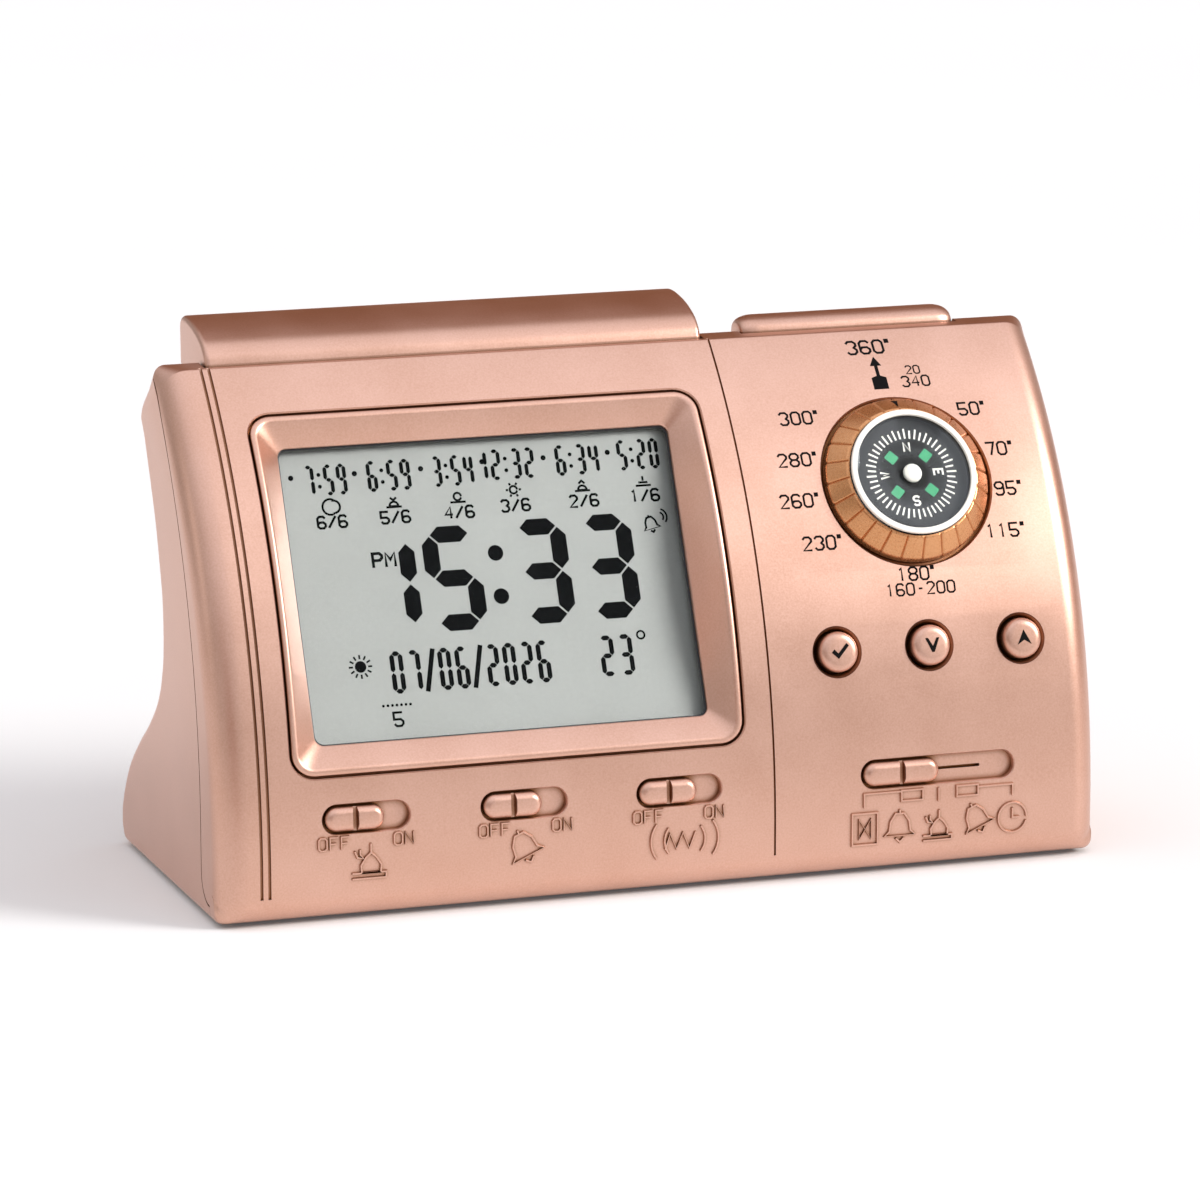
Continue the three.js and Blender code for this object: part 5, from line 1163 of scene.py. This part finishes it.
# %% [markdown]
# ## Pictograms
# Each is drawn in a square that is one unit wide: a bell, a domed house with a moon, a clock face,
# a moon, and a sun at a height over the horizon.

# %% Pictograms
BELL = [
    [(-0.5, -0.3), (-0.34, -0.16), (-0.3, 0.14), (-0.14, 0.38), (0.14, 0.38), (0.3, 0.14),
     (0.34, -0.16), (0.5, -0.3)],
    [(-0.13, -0.38), (0, -0.5), (0.13, -0.38)],
    [(0, 0.38), (0, 0.5)],
]
HOUSE = [
    [(-0.5, -0.5), (0.5, -0.5), (0.5, -0.34), (-0.5, -0.34)],
    [(-0.22, -0.34), (-0.24, -0.12), (-0.1, 0.1), (0.06, 0.24), (0.22, 0.1), (0.36, -0.12),
     (0.34, -0.34)],
    [(0.06, 0.24), (0.06, 0.5)],
    [(-0.42, 0.3), (-0.34, 0.12), (-0.16, 0.08), (-0.26, 0.2), (-0.26, 0.34)],
]
DIAL = [arc(0, 0, 0.5, 0, 345, 24), [(0, 0.32), (0, 0), (0.24, 0)]]
MOON = [np.vstack([arc(0, 0, 0.5, 60, 300), arc(0.22, 0, 0.4, -105, 105, 9)])]


def pictogram(paths, x, z, size, width, degrees=0.0):
    for path in turned_by(paths, degrees, x, z, size):
        closed = len(path) > 3 and np.linalg.norm(path[0] - path[-1]) > 0.2 * size
        yield stroke(path, width, closed)


# %% [markdown]
# ## What the display shows
# The time, six small times with a pictogram and a number under each, the date, the temperature and
# the day of the week. The measured places are in millimetres from the display's centre. The bars
# stand 0.02 mm off the glass, which is enough to keep the two surfaces apart.

# %% Display contents
BIG_TIME = [("1", -21.1, -6.8, 8.9, 16.0), ("5", -10.85, -7.1, 9.45, 17.2),
            ("3", 4.3, -7.0, 9.2, 17.3), ("3", 15.6, -7.0, 9.1, 17.3)]
SMALL_TIMES = [  # text, ends, foot, place of the dot before it
    ("7:59", (-28.8, -21.8), 16.4, -31.0), ("6:59", (-18.4, -11.1), 16.5, -20.4),
    ("3:54", (-7.5, -0.5), 16.6, -9.3), ("12:32", (1.2, 9.9), 17.1, 1.1),
    ("6:34", (13.5, 20.9), 17.1, 11.5), ("5:20", (24.1, 31.2), 17.3, 22.5),
]
SUN_LOW, SUN_HIGH = (arc(0, -0.25, 0.28, 0, 180), arc(0, 0.05, 0.24, 0, 345, 14))
HORIZON = [(-0.5, -0.3), (0.5, -0.3)]
RAYS = [[(r * math.cos(t), 0.05 + r * math.sin(t)) for r in (0.34, 0.5)]
        for t in np.radians(range(0, 360, 60))]
HOURS = [
    MOON,
    [SUN_LOW, HORIZON, [(-0.2, 0.3), (0, 0.12), (0.2, 0.3)]],
    [SUN_HIGH, HORIZON],
    [SUN_HIGH, *RAYS],
    [SUN_LOW, HORIZON, [(-0.2, 0.16), (0, 0.34), (0.2, 0.16)]],
    [HORIZON, [(-0.3, -0.1), (0.3, -0.1)], [(0, 0), (0, 0.3)]],
]
DAY_SUN = (-23.6, -11.8)
GLASS_DEPTH, OFF_GLASS = WINDOW_SETBACK + 2.1, 0.02


def on_glass(loop, depth):
    loop = np.asarray(loop) + (0.2, 0.13)
    return on_plane(loop, DISPLAY_X, DISPLAY_ANGLE, GLASS_DEPTH + depth)


def display_shapes():
    for digit in BIG_TIME:
        yield from bar_digit(*digit, 2.7, 0.2)
    for z in (5.15, -2.0):
        yield circle(1.3, 24, 1.3, z)
    for k, (text, ends, low, dot) in enumerate(SMALL_TIMES):
        middle = (ends[0] + ends[1]) / 2 + 0.2
        yield from bar_text(text, ends, (low, low + 5.1), 0.62)
        yield circle(0.45, 10, dot, low + 3.2)
        yield from pictogram(HOURS[k], middle, low - 1.9, 2.6, 0.36)
        yield from written("%d/6" % (6 - k), middle, low - 5.3, 1.9, 0.4)
    yield from written("PM", -17.4, 4.1, 2.3, 0.48)
    yield from bar_text("07/06/2026", (-18.7, 8.0), (-16.6, -9.7), 0.78)
    yield from bar_text("23", (16.5, 22.1), (-16.4, -9.7), 0.78)
    yield stroke(circle(0.65, 12, 23.8, -10.0), 0.32, closed=True)
    yield circle(0.95, 20, *DAY_SUN)
    for turn in np.radians(range(0, 360, 30)):
        ray = np.array([math.cos(turn), math.sin(turn)])
        yield stroke([ray * 1.25 + DAY_SUN, ray * 1.95 + DAY_SUN], 0.3)
    yield from pictogram(BELL, 28.2, 8.2, 2.9, 0.34, 12)
    for radius in (0.8, 1.4):
        yield stroke(arc(29.7, 9.2, radius, -40, 70, 6), 0.3)
    for day in range(7):
        yield circle(0.24, 8, -20.7 + 0.75 * day, -18.4)
    yield from written("5", -18.5, -21.8, 2.2, 0.38)


lay_on("lcd_glass", LCD_SEGMENT, "display_segments", display_shapes(), on_glass, OFF_GLASS, 0.03)
print("display shows", len(SMALL_TIMES), "small times and the time")

# %% [markdown]
# ## What is printed round the compass
# The scale's names are plain degrees here. All heights are measured along the panel's arc. Ink
# stands 0.02 mm proud, so that it doesn't share a surface with the panel.

# %% Printing on the panel
INK = 0.02
DEGREES = [  # text, place, height, and how it is aligned
    ("360°", 45.6, 79.5, 2.5, 0.5), ("20", 51.6, 75.1, 1.5, 0.5), ("340", 51.6, 72.7, 1.9, 0.5),
    ("300°", 34.0, 67.0, 2.2, 1), ("280°", 32.2, 59.6, 2.2, 1), ("260°", 31.2, 52.5, 2.2, 1),
    ("230°", 33.9, 45.2, 2.2, 1), ("50°", 57.8, 66.8, 2.2, 0), ("70°", 61.0, 59.3, 2.2, 0),
    ("95°", 61.2, 52.3, 2.2, 0), ("115°", 58.4, 45.2, 2.2, 0), ("180°", 45.5, 39.1, 2.1, 0.5),
    ("160-200", 45.5, 36.7, 1.9, 0.5),
]
POINTER = [
    [(44.4, 77.0), (45.1, 77.0), (45.1, 75.0), (45.7, 75.0), (45.7, 77.0), (46.4, 77.0),
     (45.4, 78.8)],
    [(44.1, 72.5), (46.7, 72.5), (46.7, 74.7), (45.4, 75.2), (44.1, 74.7)],
]


def on_face(loop, depth):
    return on_panel(loop, 0, 0, depth)


def panel_print():
    for text, x, z, height, align in DEGREES:
        yield from written(text, x, z, height, 0.16 * height, align)
    yield from POINTER


lay_on("front_casing", BLACK_INK, "panel_print", panel_print(), on_face, INK)
print(len(DEGREES), "texts are printed round the compass")

# %% [markdown]
# ## Raised marks under the sliders
# These are moulded with the casing: ribs a third of a millimetre high. Their tops are half as wide
# as their feet, which is why each shows one light and one dark flank.

# %% Raised marks
RELIEF, RELIEF_FOOT, RELIEF_WIDTH, RELIEF_TOP = 0.34, 0.1, 0.5, 0.5
OFF_AND_ON = ((-56.3, -44.8), (-29.7, -18.4), (-3.8, 7.4))
ALARM_SIGNS = [(HOUSE, -50.6, 1.0, 5.6, 0), (BELL, -24.8, 1.2, 5.8, 24)]
SOUND_ARCS = ((1.2, 4.6, 180), (2.3, 3.4, 180), (2.4, 3.4, 0), (3.5, 4.6, 0))
RAISED_LINES = [
    [(-1.0, -1.4), (-0.2, 1.2), (0.9, -1.4), (2.0, 1.2), (3.1, -1.4), (4.2, 1.2)],
    [(33.3, 2.7), (33.3, 4.9), (39.8, 4.9)],
    [(59.3, 2.8), (59.3, 4.6), (53.2, 4.6)],
    [(46.3, 2.8), (46.3, 5.0)],
]
FRAMED_ZIGZAG = [
    [(-0.42, -0.5), (0.42, -0.5), (0.42, 0.5), (-0.42, 0.5)],
    [(-0.2, -0.32), (-0.2, 0.32), (0.2, -0.32), (0.2, 0.32)],
]
MODE_SIGNS = [(FRAMED_ZIGZAG, 33.4, -0.9, 5.2, 0), (BELL, 39.5, -0.8, 5.4, 0),
              (HOUSE, 46.1, -1.2, 5.0, 0), (BELL, 53.0, -0.6, 5.4, 24), (DIAL, 59.3, -1.0, 5.0, 0)]


def raised_signs(signs):
    for paths, x, z, size, degrees in signs:
        yield from pictogram(paths, x, z, size, RELIEF_WIDTH, degrees)


def raised():
    for off, on in OFF_AND_ON:
        yield from written("OFF", off, 3.2, 2.0, RELIEF_WIDTH * 0.85)
        yield from written("ON", on, 3.2, 2.0, RELIEF_WIDTH * 0.85)
    yield from raised_signs(ALARM_SIGNS)
    for x, radius, degrees in SOUND_ARCS:
        yield stroke(arc(x, 0, radius, degrees - 38, degrees + 38, 9), RELIEF_WIDTH)
    for path in RAISED_LINES:
        yield stroke(path, RELIEF_WIDTH)
    for x in (39.8, 49.5):
        frame_path = [(x, 3.3), (x + 3.7, 3.3), (x + 3.7, 5.0), (x, 5.0)]
        yield stroke(frame_path, RELIEF_WIDTH, closed=True)
    yield from raised_signs(MODE_SIGNS)


lay_on("front_casing", ROSE_LACQUER, "panel_relief", raised(), on_face,
       RELIEF, RELIEF_FOOT, RELIEF_TOP)
print(len(RAISED_LINES) + len(SOUND_ARCS), "raised lines beside the signs and words")

# %% [markdown]
# ## Symbols on the buttons and the compass card
# The buttons carry a tick, an arrow down and an arrow up. The card has a scale of 48 strokes, four
# letters and four green fields. A small arrowhead on the ring's slope shows how far it is turned.

# %% Button symbols, the card's scale and the ring's index mark
TICK = [(-1.5, -0.1), (-1.05, 0.4), (-0.4, -0.3), (1.1, 1.3), (1.5, 0.9), (-0.4, -1.15)]
ARROW_DOWN = [(-1.2, 1.1), (-0.75, 1.1), (0, -0.25), (0.75, 1.1), (1.2, 1.1), (0.2, -1.2),
              (-0.2, -1.2)]
ARROW_UP = [(-1.2, -1.1), (0, -0.35), (1.2, -1.1), (0, 1.3)]
RING_INDEX = [(-0.55, 13.3), (0, 12.0), (0.55, 13.3)]
KEY_TOP, CARD_TOP, CARD_TICKS = 1.62, 2.3, 48
CAP_PROFILE = [(0.05, -3.1), (1.0, -3.08), (1.55, -2.95), (1.6, -2.6), (0.05, -2.6)]


def on_button(x):
    return lambda loop, depth: on_plane(loop, x, BUTTON_ANGLE, depth - KEY_TOP)


def on_card(loop, depth):
    return on_plane(loop, COMPASS_X, COMPASS_ANGLE, depth - CARD_TOP)


def on_ring(loop, depth):
    """The ring's slope goes one millimetre down for each one outwards."""
    return np.vstack([in_ring(x, z, z - RING_CROWN - RING_PROUD + depth) for x, z in loop])


def card_scale():
    for k in range(CARD_TICKS):
        turn = math.radians(k * 360 / CARD_TICKS)
        ray = np.array([math.cos(turn), math.sin(turn)])
        yield stroke([ray * 6.1, ray * (7.5 if k % 2 else 7.8)], 0.3)
    for letter, turn in (("N", 0), ("E", -90), ("S", 180), ("W", 90)):
        for path, _, closed in written(letter, 0, 3.9, 1.5, 0.32):
            yield stroke(turned_by([path], turn)[0], 0.34, closed)


def card_fields():
    for turn in (45, 135, 225, 315):
        yield from turned_by([rounded_loop(1.9, 1.7, 0.2, corner_steps=3) + (4.2, 0)], turn)


for x, side, symbol in zip(BUTTON_XS, BUTTON_NAMES, (TICK, ARROW_DOWN, ARROW_UP)):
    lay_on(side + "_button", BLACK_INK, side + "_symbol", [symbol], on_button(x), INK, 0.15)
lay_on("compass_card", IVORY_ABS, "card_scale", card_scale(), on_card, INK)
lay_on("compass_card", GREEN_PAINT, "card_fields", card_fields(), on_card, INK)
cap = in_compass("card_cap", CAP_PROFILE, (0, 0.3, 0.3, 0, 0))
dress(cap, IVORY_ABS, "compass_card", stands_for=False)
lay_on("compass_ring", BLACK_INK, "ring_index", [RING_INDEX], on_ring, 0.03, 0.1)
print("three symbols, the card's scale and the ring's index mark")

# %% [markdown]
# ## Finishes of what lies inside
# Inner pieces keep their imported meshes. Each slot of such a node takes the finish that its real
# material would have.

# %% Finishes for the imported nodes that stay
INSIDE = {
    "lcd_reflector": WHITE_ABS, "lcd_bracket": WHITE_ABS, "chip_cover": BLACK_ABS,
    "contact_strip_upper": DARK_RUBBER, "contact_strip_lower": DARK_RUBBER,
    "speaker_basket": PLATED_STEEL, "speaker_cone": FELT_PAPER, "speaker_magnet": PLATED_STEEL,
    "battery_front": CELL_FILM, "battery_back": CELL_FILM,
}
IN_NAMES = {"_board": BOARD_LACQUER, "_switch": BLACK_ABS, "contact_": PLATED_STEEL,
            "_screw": PLATED_STEEL, "foot_": DARK_RUBBER}
for name, node in frame["nodes"].items():
    by_part = (finish for part, finish in IN_NAMES.items() if part in name)
    finish = INSIDE.get(name) or next(by_part, WHITE_ABS)
    for slot in node.material_slots:
        slot.material = finish
print(len(frame["nodes"]), "packed nodes have a finish")

# %% [markdown]
# ## Floor, light and view
# A white table, one broad sun from the upper right, a faint one from the left, and a pale room.
# Two kinds of patches in the room matter for the lacquer and the panes. Dark amber ones behind,
# beside and low in front give the bar its brown upper edge and the bezel its brown slopes. Two
# small dark flags hang where the display and the compass lens would mirror the room, as a
# photographer would hang them. A sun lights the near and the far table alike, so it stays white.

# %% Floor, suns, room and view
SUNS = (("sun", (0.72, -0.5, 0.485), 2.3, 20), ("rim_light", (-0.95, 0.05, 0.3), 0.08, 16))
ROOM_WALLS, ROOM_CEILING, ROOM_STRENGTH = "#969594", "#F0F5FF", 1.42
AMBER, FLAG = "#6B3A00", "#0C0C0C"
AMBERS = [((0.32, 0.74, 0.6), 0.7, 0.92), ((0.97, -0.1, 0.2), 0.88, 0.97),
          ((-0.5, -0.86, 0.12), 0.93, 0.985)]
FLAGS = [((0.303, -0.7635, 0.5702), 0.9935, 0.9968), ((0.369, -0.598, 0.7116), 0.996, 0.9982)]
TABLE_REACH, TABLE_BACK = 4000, 9000  # mm


def table(name, code, glow, rough):
    """A matt floor with a faint glow, which only the eye and mirrors see, in shadows too."""
    finish, tree = blank_finish(name)
    sheen = mapped(tree, noise(tree, 6.0), (0.0, 1.0), (rough, rough + 0.1))
    path = add_node(tree, "ShaderNodeLightPath").outputs
    seen = path["Is Camera Ray"]
    for kind in ("Is Glossy Ray", "Is Transmission Ray"):
        seen = add_node(tree, "ShaderNodeMath", {"operation": "MAXIMUM"},
                        links={0: seen, 1: path[kind]}).outputs[0]
    surface = add_node(tree, "ShaderNodeBsdfPrincipled", sockets={
        "Base Color": linear(code), "IOR": 1.45, "Emission Color": linear(glow),
    }, links={"Roughness": sheen, "Emission Strength": seen})
    add_node(tree, "ShaderNodeOutputMaterial", links={"Surface": surface.outputs["BSDF"]})
    return finish


floor = mesh_piece("table", [(-TABLE_REACH, -TABLE_REACH, 0), (TABLE_REACH, -TABLE_REACH, 0),
                             (TABLE_REACH, TABLE_BACK, 0), (-TABLE_REACH, TABLE_BACK, 0)],
                   [(0, 1, 2, 3)])
floor.data.materials.append(table("matt_white_table", "#F8F7F4", "#44474A", 0.6))

for name, place, energy, angle in SUNS:
    light = bpy.data.objects.new(name, bpy.data.lights.new(name, "SUN"))
    light.data.energy, light.data.angle = energy, math.radians(angle)
    light.rotation_euler = Vector(place).to_track_quat("Z", "Y").to_euler()
    bpy.context.collection.objects.link(light)

world = bpy.data.worlds.new("room")
bpy.context.scene.world = world
world.use_nodes = True
room = world.node_tree
room.nodes.clear()
direction = add_node(room, "ShaderNodeTexCoord").outputs["Generated"]


def around(place, rim, core):
    """1 where the room is seen towards a place and 0 away from it, by cosines."""
    towards = add_node(room, "ShaderNodeVectorMath", {"operation": "DOT_PRODUCT"},
                       {1: Vector(place).normalized()}, {0: direction}).outputs["Value"]
    return add_node(room, "ShaderNodeMapRange", {"interpolation_type": "SMOOTHSTEP"},
                    {"From Min": rim, "From Max": core}, {"Value": towards}).outputs["Result"]


seen = add_node(room, "ShaderNodeMixRGB",
                sockets={"Color1": linear(ROOM_WALLS), "Color2": linear(ROOM_CEILING)},
                links={"Fac": around((0, -0.2, 1), 0.3, 1.0)}).outputs["Color"]
for code, patches in ((AMBER, AMBERS), (FLAG, FLAGS)):
    for patch in patches:
        seen = add_node(room, "ShaderNodeMixRGB", sockets={"Color2": linear(code)},
                        links={"Fac": around(*patch), "Color1": seen}).outputs["Color"]
light = add_node(room, "ShaderNodeBackground", sockets={"Strength": ROOM_STRENGTH},
                 links={"Color": seen})
add_node(room, "ShaderNodeOutputWorld", links={"Surface": light.outputs["Background"]})
bpy.context.scene.view_settings.view_transform = "Standard"
print(len(SUNS), "suns, and a pale room with", len(AMBERS), "amber and", len(FLAGS), "dark patches")
